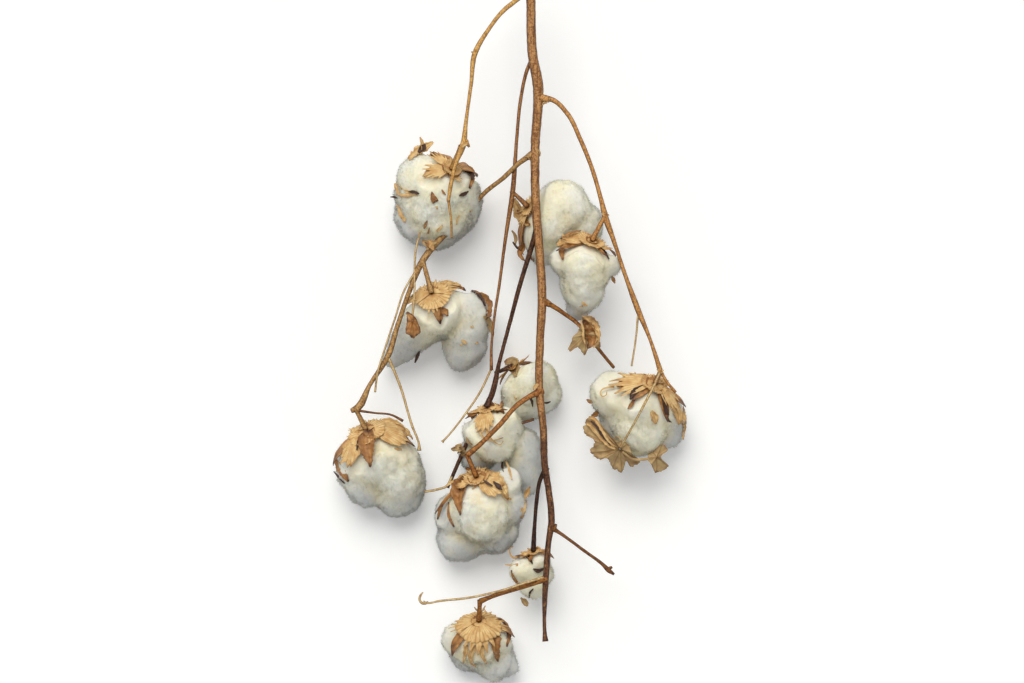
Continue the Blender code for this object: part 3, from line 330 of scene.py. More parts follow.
# Small things on each boll, as (kind, lift, cup, points), where a point is (x, y, half width).
# They lie on the lint as seen from above, at that height over it, and curl by the cup.
DETAILS = {
    1: scraps("""
    bract 3 1.2: -76 126 1, -71 130 3.8, -64 134.5 3.4, -57.5 139 1;
    bract 5 1: -65 133 2.4, -66 138 1.8, -67.5 143 0.4;
    dark 5.5 0.8: -68.5 131 1, -65.5 134.5 2.6, -63.5 137.5 0.6;
    bur 5 1.2: -58 131.5 0.8, -53.5 127.5 2.4, -47 124.5 1.8, -43 121.5 1;
    bur 4 1: -36 121 0.8, -30.5 118 3, -28.5 112 2, -30.5 104 0.9;
    dark 4.8 1: -33.5 117 0.6, -29.5 115.5 2.3, -28.5 110.5 0.8;
    dark 1.5 0.5: -38 98.5 0.6, -34 100 1.4, -31 102 0.5;
    bract 1 0.8: -86 108.5 0.8, -84 104 2.8, -78 100.5 3, -73.5 100.5 1.8, -69 99.5 0.8;
    dark 2 0.5: -76 101.5 0.4, -72 101.5 1.2, -68 100 0.5;
    bract 0.8 0.4: -85 92 0.8, -81.5 88 3.4, -79.5 83 3, -79.5 79 0.6;
    dark 0.6 0.3: -90 98 0.3, -87 98 0.8, -84 97 0.3;
    bur 0.8 0.3: -58.5 101.5 0.3, -57.5 97.5 1.8, -55.5 93.5 3;
    bur 0.6 0.3: -51 103 0.4, -49.5 100.5 0.9, -48 99 0.3;
    bur 0.8 0.3: -62 80 0.4, -63.5 76.5 1.2, -64.5 74 0.4;
    bur 0.6 0.3: -60 75.5 0.3, -61.5 70.5 0.7;
    bract 0.6 0.3: -38 84 0.4, -39.5 80 0.8, -40 77 0.4;
    bract 0.6 0.3: -50.5 76.5 0.5, -53 73.5 1.3, -55 72 0.4;
    bract 0.5 0.3: -55 90.5 0.7, -54.5 88.5 0.6;
    bract 0.5 0.3: -30.5 88 0.7, -29.5 86.5 0.6;
    bract 2.2 0.5: -65 113 0.8, -59 116.5 3.2, -52 119.5 3.4, -45 121 1.4
    """),
    2: scraps("""
    bur 2.8 0.8: -69 23.5 1.4, -74.5 21 2.8, -78.5 16.5 1.2;
    bract 1.2 0.5: -57 31.5 1.2, -48 33 3.2, -41 31.5 3.2, -35 28.5 0.8;
    dark 2.4 0.3: -49 31.5 0.4, -43 31 0.8, -37 31 0.3;
    bur 1.6 1: -58 15.5 1.5, -54 12 3.6, -52.5 7 2.2, -52 4 0.5;
    bur 1.4 1: -52 14.5 1, -48.5 12 2.2, -46.5 8.5 0.5;
    dark 1.8 0.6: -53.5 7.5 0.6, -52.5 4.5 1.2, -52 2.5 0.3;
    bur 2 1.2: -29.5 27 0.8, -23 24 2.4, -17.5 18 3.6, -16.5 11 2.6, -18.5 6 0.8;
    dark 2.6 0.8: -29 27.5 0.8, -24.5 25.5 1.6, -21 21 1.2, -18.5 16 0.6;
    leaf 2.5 0.8: -20 8.5 0.6, -16 5 2.2, -13.5 0.5 1;
    leaf 2.5 0.8: -17 2 0.6, -14 -2 1.8, -13 -7.5 0.6;
    bract 0.6 0.3: -36.5 -9.5 0.6, -34 -11 1.4, -32.5 -12.5 0.5;
    bract 0.6 0.3: -37.5 -13.5 0.4, -35.5 -12.5 0.8;
    bract 0.6 0.3: -29.5 0 0.5, -27.5 1 0.8;
    bract 0.6 0.3: -26 -12.5 0.5, -24 -11 0.8;
    dark 0.8 0.5: -67.5 -16.5 0.4, -69.5 -21 1.4, -71.5 -26.5 0.5
    """),
    3: scraps("""
    bur 0.6 0.6: -132 -98 0.8, -128.5 -104 3.2, -124.5 -110 2.6, -121 -115.5 0.6;
    dark 1 0.4: -132.5 -108 0.3, -128 -113 0.9, -124 -117 0.4;
    bur 6.2 0.9: -105.5 -77 3, -107 -84 5.8, -106.5 -91 5.6, -105 -98 3.2, -104.3 -104.5 0.5;
    bract 3.4 0.2: -107 -76 2.5, -114 -81 5, -118.5 -88 4.6, -120 -96 2.8, -119 -104 0.6;
    bract 3 0.2: -101 -73 2.6, -93 -71.5 4.2, -85 -73 3.6, -78 -77.5 2.2, -73 -84 0.6;
    dark 5.4 0.8: -98 -73 0.5, -104 -77.5 1.3, -110 -80.5 1.5, -113.5 -87 1.2, -114.5 -92 0.4;
    bur 3.8 0.8: -87 -72.5 0.4, -81.5 -75 1.3, -77 -80 0.5;
    bract 0.5 0.3: -86.5 -90.5 0.5, -84 -91.2 0.9, -81 -91.5 0.4
    """),
    4: scraps("""
    bract 2.6 0.6: 3.5 97 1.2, 5.5 91 4, 8.5 84.5 4.6, 12 79.5 3, 15 76 1;
    bur 3.4 0.8: 5 88 0.6, 9 86.5 1.3, 13 87 0.4;
    bur 3.2 0.8: 7 80.5 0.8, 11 78 2, 15 77 0.8;
    bract 4 1: 8 87 0.8, 10.5 82 2.4, 12 77.5 0.8;
    bur 1.5 1: 9 69 0.8, 10 62 2.4, 8 55 2.2, 11.5 50 0.6;
    bur 1 0.8: 13 58 0.6, 16 54 1.8, 18 49.5 0.6;
    dark 0.8 0.5: 2 64.5 0.4, 5 60.5 1, 8 57.5 0.4;
    leaf 0.8 0.5: 1.5 73 0.5, 4.5 68 1.6, 4 62 0.6
    """),
    5: scraps("""
    bract 4.4 0.3: 35.5 61 1.2, 40 64.5 4.2, 46.5 67.5 4.8, 54 69.5 3.4, 60.5 68.5 1.2;
    bur 4.6 0.8: 38 66 0.6, 45 70.5 1, 53 72.3 0.5;
    bur 3.6 1.2: 40 62 0.8, 38.8 57 2.2, 39.5 50.5 0.6;
    dark 3 0.8: 60 66.5 0.6, 66 61 1.4, 71 56 1, 74 51 0.4;
    bur 1 0.6: 76 38.5 0.5, 77.5 35.5 1.4, 78.5 33 0.4;
    bract 0.5 0.3: 53.5 19.5 0.4, 56 17 1.1, 58 16 0.4;
    bract 0.5 0.3: 52 15.5 0.4, 54.5 16 0.7
    """),
    6: scraps("""
    bract 4 0.3: 78 -44.5 0.8, 73 -45 0.6, 69 -46.5 0.5, 67.5 -49 0.4, 69 -51.5 0.4,
        72 -50.5 0.4, 72.5 -48 0.3;
    bract 3 0.3: 81 -90 0.6, 77.5 -87 0.5, 78 -83.5 0.4, 81 -82 0.4, 83 -84.5 0.4, 82 -87 0.3;
    bract 3.4 0.2: 80 -44.5 1, 86 -41 4.2, 93 -38 5, 100 -37.5 4.4, 106 -40.5 2;
    bract 2.8 0.2: 112 -43 2, 118 -49.5 4.2, 123 -57.5 4.2, 126 -66 2.6, 127 -73 0.8;
    dark 4 0.8: 106 -43 0.6, 98 -45 1.6, 92 -49.5 2.2, 90 -54 0.6;
    bur 1.6 0.8: 93 -54 0.8, 90.5 -58 1.6, 88 -61 0.4;
    dark 4.8 0.8: 112.5 -47 0.5, 115 -55 1.4, 117 -64 1.6, 118.5 -69.5 0.9, 121 -71 0.3;
    bract 3.6 0.8: 118 -48 0.8, 124 -56 2, 128 -66 1.6, 129.5 -73 0.5;
    bract 0.8 0.4: 105.5 -62.5 1.2, 108 -67 3.2, 109 -72 0.8;
    bur 0.8 0.5: 57.5 -54 0.4, 60 -55.5 1.6, 62.5 -56 0.5;
    bur 0.8 0.6: 61 -66 0.6, 64.5 -65 2, 66 -61.5 0.5;
    bract 1.5 0.8: 130 -59 0.6, 131 -72 1.6, 130 -84 0.5
    """),
    7: scraps("""
    leaf 3 0.6: -4 -27 1.4, 0.5 -26 4.4, 3.5 -31 4.2, 4 -37 1;
    bract 0.5 0.3: 3 -52.5 0.5, 5 -53.5 0.9;
    dark 2.5 0.4: 25 -56.5 0.4, 28 -56.5 0.7, 30.5 -55.5 0.3
    """),
    8: scraps("""
    bract 3 0.3: -18 -77 1, -15 -82 0.6, -11 -86 0.5, -7 -87.5 0.4, -5 -85 0.3;
    bract 2.6 0.3: -24 -76 0.9, -20 -82 0.6, -14 -84.5 0.5, -5 -82.5 0.3;
    bur 1.5 0.8: -32.5 -64 0.4, -29 -66.5 2, -25 -65.5 0.6;
    bur 2 1: -14 -57 0.8, -9 -60 2.6, -4.5 -64.5 0.6;
    bur 2.6 1: -10 -64 0.6, -6.5 -60 1.6, -6 -55 0.5;
    leaf 2 0.6: -33 -82 0.3, -31 -86 1.2, -28.5 -88 0.4
    """),
    9: scraps("""
    bur 2 0.8: -33 -105 0.8, -29.5 -109.5 2.8, -27 -115 0.8;
    bur 3.6 1.2: -31 -112 2.6, -36.5 -118 5.6, -38.5 -126 5, -38 -133 2.8, -37 -140.5 0.5;
    bract 3.4 0.6: -28 -109 1.5, -34.5 -112.5 3.2, -41 -115.5 2.4, -48 -119 1;
    bur 1 0.6: -47.5 -127 0.5, -51.5 -134 1.2, -54.5 -144 0.5;
    bur 1 0.6: -46 -131 0.4, -46 -140 1.1, -42 -149.5 0.7;
    bract 0.8 0.6: 15 -119.5 0.6, 13 -123 2, 11 -129 0.8;
    bract 0.8 0.6: 12 -130 0.6, 10 -136 2, 8.5 -143.5 0.6;
    bract 1.5 0.3: -5 -97 0.4, -1.5 -104 0.9, 1.5 -114 0.4;
    dark 1.6 0.3: -5 -108 0.3, -6 -104 0.8, -5.5 -100.5 0.3;
    bract 0.8 0.4: -28 -121 0.4, -23.5 -117.5 0.8, -19 -118.5 0.7, -15 -122 0.3;
    bract 4.6 -0.2: -26 -107.5 2.6, -20 -108.5 5.6, -13 -112 6.4, -7 -117 4.6, -3.5 -123 2.6,
        -1 -128.5 0.8;
    dark 6.4 0.4: -20 -114 0.4, -16.5 -116.5 1, -13 -118.5 0.4;
    dark 6.8 0.4: -12.5 -115 0.6, -9 -118.5 1.7, -6 -121.5 0.5;
    bract 3.6 0.8: -6 -119 1.8, -4.5 -124 2, -1.5 -128 1.3, 1 -128.5 0.4
    """),
    10: scraps("""
    bract 1 0.3: 7 -172 1.2, 2.5 -173 0.8, 0 -169.5 0.6, 0.5 -165.5 0.4, 2.5 -164.5 0.3;
    bract 0.8 0.3: 6 -178 1.2, 1 -178.5 0.7, -4 -178 0.3;
    bract 2 0.8: 8 -169 0.8, 12 -170 1.8, 16 -173.5 0.8;
    dark 2.4 0.8: 9 -170.5 0.5, 13 -171.5 1.5, 17 -177 0.5;
    dark 0.8 0.6: 17.5 -181 0.6, 21 -182.5 1.5, 26 -180.5 0.5;
    bur 0.8 0.6: 1 -182 0.4, 3 -188 1.2, 8 -194.5 0.6;
    dark 0.8 0.4: 17.5 -196 0.3, 15 -199 0.8, 14.5 -203 0.3;
    leaf 1 0.5: 8 -203 0.6, 11.5 -206 2.8, 13 -209.5 0.8
    """),
    11: scraps("""
    bract 2 1: -33 -238 2, -33.5 -244 1.6, -35 -252 0.4;
    bract 2 1: -27 -239 2.2, -29.5 -247 1.8, -27.5 -253 1, -25.5 -255 0.3;
    bract 2 1: -21 -239 2.2, -20.5 -246 1.6, -17.5 -252.5 0.4;
    bur 2.2 1: -38 -231 1.4, -41 -237 2.6, -43.5 -245.5 0.5;
    bur 2.2 1.2: -14 -226 1.6, -11 -233 3.6, -10.5 -242 2.6, -9 -251 0.5;
    dark 3 0.8: -13.5 -227.5 0.6, -10 -228.5 1.4, -7 -231 0.5;
    bur 1.6 1: -12 -217.5 0.8, -5 -222 2, -1 -230 2, -2.5 -239.5 0.5;
    dark 2.4 0.6: -8 -219 0.4, -3 -224 1, -1 -231 0.5;
    dark 0.6 0.3: -51.5 -237 0.4, -49.5 -239 0.8;
    leaf 2.5 0.8: -27 -210 0.3, -25 -212.5 0.9, -23 -214 0.3;
    leaf 2.5 0.8: -18.5 -209 0.3, -20 -212 0.8, -21.5 -214 0.3
    """),
}

# Yellowish stains on the lint, as (x, y, z, radius).
STAINS = [
    (55, 18, 46, 7), (52, 12, 42, 5), (5, -53, 33, 6), (-4, -66, 40, 6), (-26, -129, 54, 8),
    (-26, -148, 48, 8), (12, 60, 38, 9), (48, 62, 30, 8), (-66, 112, 52, 6), (24, -178, 36, 5),
    (-14, -246, 30, 6), (-60, 8, 50, 6), (-100, -92, 50, 7),
]

# Each branch's wood: its colour, its shade, the angle of its streaks and where it darkens.
WOODS = {
    "main_stem": ((0.56, 0.285, 0.105), (0.23, 0.088, 0.028), 0.0, (-55, -100)),
    "upper_left_branch": ((0.76, 0.43, 0.125), (0.42, 0.20, 0.05), -0.35),
    "long_left_branch": ((0.56, 0.33, 0.12), (0.28, 0.13, 0.04), -0.5),
    "back_left_branch": ((0.43, 0.20, 0.07), (0.17, 0.06, 0.02), -0.1),
    "right_branch": ((0.66, 0.33, 0.10), (0.34, 0.135, 0.036), 0.35),
    "dark_branch": ((0.15, 0.058, 0.026), (0.026, 0.01, 0.006), -0.3),
    "front_branch": ((0.50, 0.20, 0.045), (0.20, 0.066, 0.014), -0.85),
    "short_dark_branch": ((0.08, 0.03, 0.014), (0.016, 0.007, 0.005), 0.0),
    "bare_twig": ((0.27, 0.105, 0.026), (0.085, 0.027, 0.007), 0.95),
    "lowest_branch": ((0.46, 0.18, 0.03), (0.19, 0.064, 0.011), -1.3),
    "leaf_branch": ((0.46, 0.18, 0.032), (0.19, 0.062, 0.011), 0.8),
    "pale_stalks": ((0.72, 0.52, 0.25), (0.46, 0.275, 0.10), 0.3),
    "brown_tendrils": ((0.24, 0.095, 0.03), (0.09, 0.032, 0.012), 1.3),
}

# Studio.
CAMERA_DISTANCE = 6.0
CAMERA_WIDTH = 0.768  # width of floor that the picture takes in
SKY = 0.46
SUN = 2.1
FLOOR_GLOW = 0.12  # keeps the shadows on the floor pale


class Shader:
    """A Principled material, built one node at a time."""

    def __init__(self, name, roughness, **constants):
        self.material = bpy.data.materials.new(name)
        self.material.use_nodes = True
        self.nodes = self.material.node_tree.nodes
        self.surface = self.nodes["Principled BSDF"]
        self.surface.inputs["Roughness"].default_value = roughness
        for socket, value in constants.items():
            self.surface.inputs[socket.replace("_", " ")].default_value = value
        self.place = self.nodes.new("ShaderNodeTexCoord").outputs["Object"]

    def put(self, socket, value):
        if isinstance(value, bpy.types.NodeSocket):
            self.material.node_tree.links.new(value, socket)
        else:
            socket.default_value = value

    def add(self, kind, inputs, **settings):
        made = self.nodes.new("ShaderNode" + kind)
        for setting, value in settings.items():
            setattr(made, setting, value)
        for socket, value in inputs.items():
            self.put(made.inputs[socket], value)
        return made

    def noise(self, size, detail=3.0, stretch=(1, 1, 1), turn=0.0):
        """Noise with features of that size in millimetres, drawn out by the stretch."""
        scale = [1 / (size * MM * s) for s in stretch]
        place = self.add("Mapping", {"Vector": self.place, "Rotation": (0, 0, turn)}).outputs[0]
        place = self.add("Mapping", {"Vector": place, "Scale": scale}).outputs[0]
        made = self.add("TexNoise", {"Vector": place, "Scale": 1.0, "Detail": detail})
        return made.outputs[0]

    def spots(self, size, share):
        """Round spots, white on black, on about that share of the cells."""
        scale = [1 / (size * MM)] * 3
        place = self.add("Mapping", {"Vector": self.place, "Scale": scale}).outputs[0]
        made = self.add("TexVoronoi", {"Vector": place, "Scale": 1.0})
        return self.ramp(made.outputs["Distance"], [(share, (1, 1, 1)), (share + 0.15, (0, 0, 0))])

    def value(self, name):
        return self.add("Attribute", {}, attribute_name=name).outputs["Fac"]

    def share(self, axis, low, high):
        """How far along that axis a point lies, from 0 at low to 1 at high, in millimetres."""
        split = self.add("SeparateXYZ", {0: self.place}).outputs[axis]
        limits = {"Value": split, "From Min": low * MM, "From Max": high * MM}
        return self.add("MapRange", limits).outputs[0]

    def rise(self, value, low, high, top=1.0):
        """A grey that rises from black at low to top at high."""
        return self.ramp(value, [(low, (0, 0, 0)), (high, (top, top, top))])

    def painted_shade_by_facing(self, flank_shade, low, high):
        """Painted shade: the flank's colour, turning to white as the surface turns upward."""
        normal = self.add("NewGeometry", {}).outputs["Normal"]
        rise = self.add("SeparateXYZ", {0: normal}).outputs[2]
        return self.ramp(rise, [(low, flank_shade), (high, (1, 1, 1))])

    def ramp(self, value, stops):
        made = self.add("ValToRGB", {0: value})
        elements = made.color_ramp.elements
        for _ in stops[2:]:
            elements.new(0.5)
        for element, (at, colour) in zip(elements, stops):
            element.position = at
            element.color = (*colour, 1)
        return made.outputs[0]

    def mix(self, share, first, second, blend="MIX"):
        made = self.add("Mix", {0: share}, data_type="RGBA", blend_type=blend)
        for socket, value in ((made.inputs[6], first), (made.inputs[7], second)):
            self.put(socket, value if isinstance(value, bpy.types.NodeSocket) else (*value, 1))
        return made.outputs[2]

    def math(self, operation, first, second):
        return self.add("Math", {0: first, 1: second}, operation=operation).outputs[0]

    def finish(self, colour, height, depth):
        """Sets the colour and, from a height of 0 to 1, the relief of that depth in millimetres."""
        bump = self.add("Bump", {"Height": height, "Distance": depth * MM, "Strength": 1.0})
        self.put(self.surface.inputs["Base Color"], colour)
        self.put(self.surface.inputs["Normal"], bump.outputs[0])
        return self.material


def lint_material():
    """White fibre, cream in the creases (its own tint and painted shade), yellowish where stained, and
    grey with painted shade on its flanks, rear locks and low parts.
    """
    under = {"Subsurface_Weight": 0.12, "Subsurface_Scale": 0.003}
    made = Shader("lint", 1.0, Specular_IOR_Level=0.0, **under)
    drift = made.rise(made.noise(20, 3), 0.38, 0.64)
    white = made.mix(drift, (0.90, 0.885, 0.77), (0.89, 0.835, 0.61))
    # Painted shade: grey on the rear locks and low down, from the "low" attribute, broken up by noise
    # patches.
    painted_shade_patches = made.ramp(made.noise(12, 3), [(0.28, (0.6, 0.6, 0.6)), (0.55, (1, 1, 1))])
    low = made.math("MULTIPLY", made.value("low"), painted_shade_patches)
    white = made.mix(low, white, (0.61, 0.615, 0.59))
    mottle = made.ramp(made.noise(2.4, 4), [(0.3, (0.955, 0.955, 0.955)), (0.62, (1, 1, 1))])
    white = made.mix(1.0, white, mottle, "MULTIPLY")
    # Painted shade: the lint greys on its flanks as they turn away from straight up.
    white = made.mix(1.0, white, made.painted_shade_by_facing((0.81, 0.82, 0.83), 0.0, 0.6), "MULTIPLY")
    # Cream in the creases: partly the lint's own tint, partly painted shade.
    crease = made.math("MULTIPLY", made.value("crease"), made.noise(7, 2))
    cream_and_crease_shade = made.mix(made.rise(crease, 0.08, 0.66), white, (0.74, 0.66, 0.45))
    stain = made.math("MULTIPLY", made.value("stain"), made.noise(3, 3))
    stained = made.mix(made.rise(stain, 0.2, 0.75, 0.8), cream_and_crease_shade, (0.66, 0.52, 0.25))
    return made.finish(stained, made.noise(1.1, 6), 0.22)


def papery_material(name, light, dark, tip, green=0.0):
    """A dry bract: paler between its veins, browner and blotched towards its edge."""
    made = Shader(name, 0.75, Specular_IOR_Level=0.25)
    blotch = made.noise(5, 4)
    colour = made.mix(made.rise(blotch, 0.36, 0.66), light, dark)
    rib = made.rise(made.value("vein"), 0.45, 0.95, 0.75)
    veined = made.mix(rib, colour, tuple(part * 0.6 for part in dark))
    edge = made.math("MULTIPLY", made.value("edge"), made.math("ADD", made.noise(6, 3), 0.2))
    edged = made.mix(made.rise(edge, 0.55, 0.85), veined, tip)
    edged = made.mix(made.value("tone"), edged, tip)
    olive = made.mix(made.math("MULTIPLY", made.noise(9, 2), green), edged, (0.38, 0.34, 0.12))
    return made.finish(olive, made.noise(1.3, 4), 0.4)


def valve_material():
    """A hard brown valve, darker and smoother than a bract, almost black where it is withered."""
    made = Shader("bur", 0.55)
    blotch = made.noise(3.5, 4)
    brown = made.mix(made.rise(blotch, 0.35, 0.68), (0.55, 0.27, 0.075), (0.30, 0.11, 0.024))
    veined = made.mix(made.math("MULTIPLY", made.value("vein"), 0.5), brown, (0.14, 0.05, 0.014))
    edge = made.math("MULTIPLY", made.value("edge"), made.math("ADD", made.noise(3, 3), 0.35))
    edged = made.mix(made.rise(edge, 0.55, 0.85), veined, (0.085, 0.03, 0.012))
    withered = made.mix(made.value("tone"), edged, (0.055, 0.022, 0.011))
    return made.finish(withered, made.noise(0.8, 4), 0.2)


def wood_material(name, colour, shade, turn=0.0, dark_from=None):
    """Bark with streaks along the wood, mottles, pale scuffs, fine specks, and painted shade on the
    flanks.
    """
    made = Shader(name, 0.5, Specular_IOR_Level=0.28)
    streaks = made.noise(1.1, 4, (1, 14, 1), turn)
    mixed = made.math("ADD", streaks, made.noise(1.5, 3))
    grain = made.rise(made.math("MULTIPLY", mixed, 0.5), 0.41, 0.57)
    base = made.mix(grain, shade, colour)
    if dark_from:
        far = made.mix(grain, (0.035, 0.013, 0.008), (0.19, 0.074, 0.028))
        base = made.mix(made.share(1, *dark_from), base, far)
    scuffs = made.rise(made.noise(4, 3), 0.56, 0.7, 0.5)
    base = made.mix(scuffs, base, tuple(min(0.8, part * 1.3) for part in colour))
    spotted = made.mix(made.spots(1.3, 0.18), base, tuple(part * 0.45 for part in shade))
    # Painted shade: the bark darkens on its flanks as they turn away from straight up.
    shaded_flanks = made.mix(1.0, spotted, made.painted_shade_by_facing((0.21, 0.15, 0.10), 0.22, 0.93), "MULTIPLY")
    return made.finish(shaded_flanks, streaks, 0.35)


def even_directions(count):
    """Unit vectors spread evenly over a sphere, on a spiral."""
    index = np.arange(count) + 0.5
    height = 1 - 2 * index / count
    turn = index * math.pi * (3 - math.sqrt(5))
    flat = np.sqrt(1 - height**2)
    return np.stack([flat * np.cos(turn), flat * np.sin(turn), height], axis=1)


def lint_reach(boll, directions):
    """How far the blended locks reach from the boll's centre along each direction."""
    centre = np.array(boll.centre, float)
    locks = np.array(boll.locks, float)
    furthest = max(np.linalg.norm(locks[:, :3] - centre, axis=1) + locks[:, 3]) + 3
    steps = np.linspace(1, furthest, 120)
    reaches = []
    for some in np.array_split(directions, max(1, len(directions) // 1500)):
        points = centre + steps[None, :, None] * some[:, None, :]
        away = np.linalg.norm(points[:, :, None] - locks[:, :3], axis=3) - locks[:, 3]
        field = -LINT_BLEND * np.log(np.exp(-away / LINT_BLEND).sum(axis=2))
        last = field.shape[1] - 1 - np.argmax(field[:, ::-1] < 0, axis=1)
        rows = np.arange(len(some))
        low, high = field[rows, last], field[rows, last + 1]
        reaches.append(steps[last] + (steps[1] - steps[0]) * low / (low - high))
    return np.concatenate(reaches)


def smooth_run(points, step):
    """The points with more between them, on a smooth curve through all of them."""
    points = np.array(points, float)
    lengths = np.linalg.norm(np.diff(points[:, :-1], axis=0), axis=1)
    if len(points) < 3:
        slopes = np.repeat((points[1:] - points[:-1]) / lengths[0], 2, axis=0)
    else:
        slopes = np.gradient(points, np.concatenate([[0], np.cumsum(lengths)]), axis=0)
    made = [points[0]]
    for i, length in enumerate(lengths):
        count = max(1, math.ceil(length / step))
        for t in np.arange(1, count + 1) / count:
            start = (1 + 2 * t) * (1 - t) ** 2 * points[i] + t * (1 - t) ** 2 * length * slopes[i]
            end = t * t * (3 - 2 * t) * points[i + 1] + t * t * (t - 1) * length * slopes[i + 1]
            made.append(start + end)
    made = np.array(made)
    made[:, -1] = np.maximum(made[:, -1], points[:, -1].min() * 0.9)
    return made


def rough(points, size, seed=0.0):
    """Smooth noise from about -1 to 1 at each point, with features of that size."""
    return np.array([noise.noise(Vector(p) / size + Vector((seed, 0, 0))) for p in points]) * 1.6


def outward(points, faces):
    """The faces turned so that they all point out of the closed mesh."""
    corners = points[faces]
    volume = np.einsum("ij,ij->i", corners[:, 0], np.cross(corners[:, 1], corners[:, 2])).sum()
    return faces if volume > 0 else faces[:, ::-1]


class Pieces:
    """Closed triangle meshes gathered for one object, with their values at each point."""

    def __init__(self):
        self.points, self.faces, self.values, self.count = [], [], [], 0

    def add(self, points, faces, **values):
        middle = points.mean(axis=0)
        self.points.append(points)
        self.faces.append(outward(points - middle, faces) + self.count)
        self.values.append({key: np.broadcast_to(v, len(points)) for key, v in values.items()})
        self.count += len(points)

    def mesh(self, name):
        points = np.concatenate(self.points)
        points[:, 2] = np.maximum(points[:, 2], 0)
        faces = np.concatenate(self.faces).astype(np.int32)
        made = bpy.data.meshes.new(name)
        made.vertices.add(len(points))
        made.vertices.foreach_set("co", (points * MM).astype(np.float32).ravel())
        made.loops.add(faces.size)
        made.loops.foreach_set("vertex_index", faces.ravel())
        made.polygons.add(len(faces))
        made.polygons.foreach_set("loop_start", np.arange(0, faces.size, 3, dtype=np.int32))
        made.update(calc_edges=True)
        for key in self.values[0]:
            layer = made.attributes.new(key, "FLOAT", "POINT")
            joined = np.concatenate([values[key] for values in self.values])
            layer.data.foreach_set("value", joined.astype(np.float32))
        made.shade_smooth()
        return made


def add_piece(name, mesh, material, slot, *nodes):
    """A piece of the object that stands for those nodes of the part."""
    mesh.materials.append(material)
    made = bpy.data.objects.new(name, mesh)
    bpy.context.scene.collection.objects.link(made)
    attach(made, "root")
    if nodes:
        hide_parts(*nodes)
    return made


def slab(top, bottom):
    """A thin closed blade between two grids, triangulated alike on both: (points, faces)."""
    rows, columns = top.shape[:2]
    index = np.arange(rows * columns).reshape(rows, columns)
    a, b, c, d = index[:-1, :-1], index[:-1, 1:], index[1:, 1:], index[1:, :-1]
    halves = ((a, b, c), (a, c, d))
    over = np.concatenate([np.stack(half, -1).reshape(-1, 3) for half in halves])
    under = over[:, ::-1] + rows * columns
    rim = np.concatenate([index[0], index[1:, -1], index[-1, -2::-1], index[-2:0:-1, 0]])
    after = np.roll(rim, -1)
    low, low_after = rim + rows * columns, after + rows * columns
    walls = np.concatenate([np.stack([rim, low, after], 1), np.stack([after, low, low_after], 1)])
    points = np.concatenate([top.reshape(-1, 3), bottom.reshape(-1, 3)])
    return points, np.concatenate([over, under, walls])


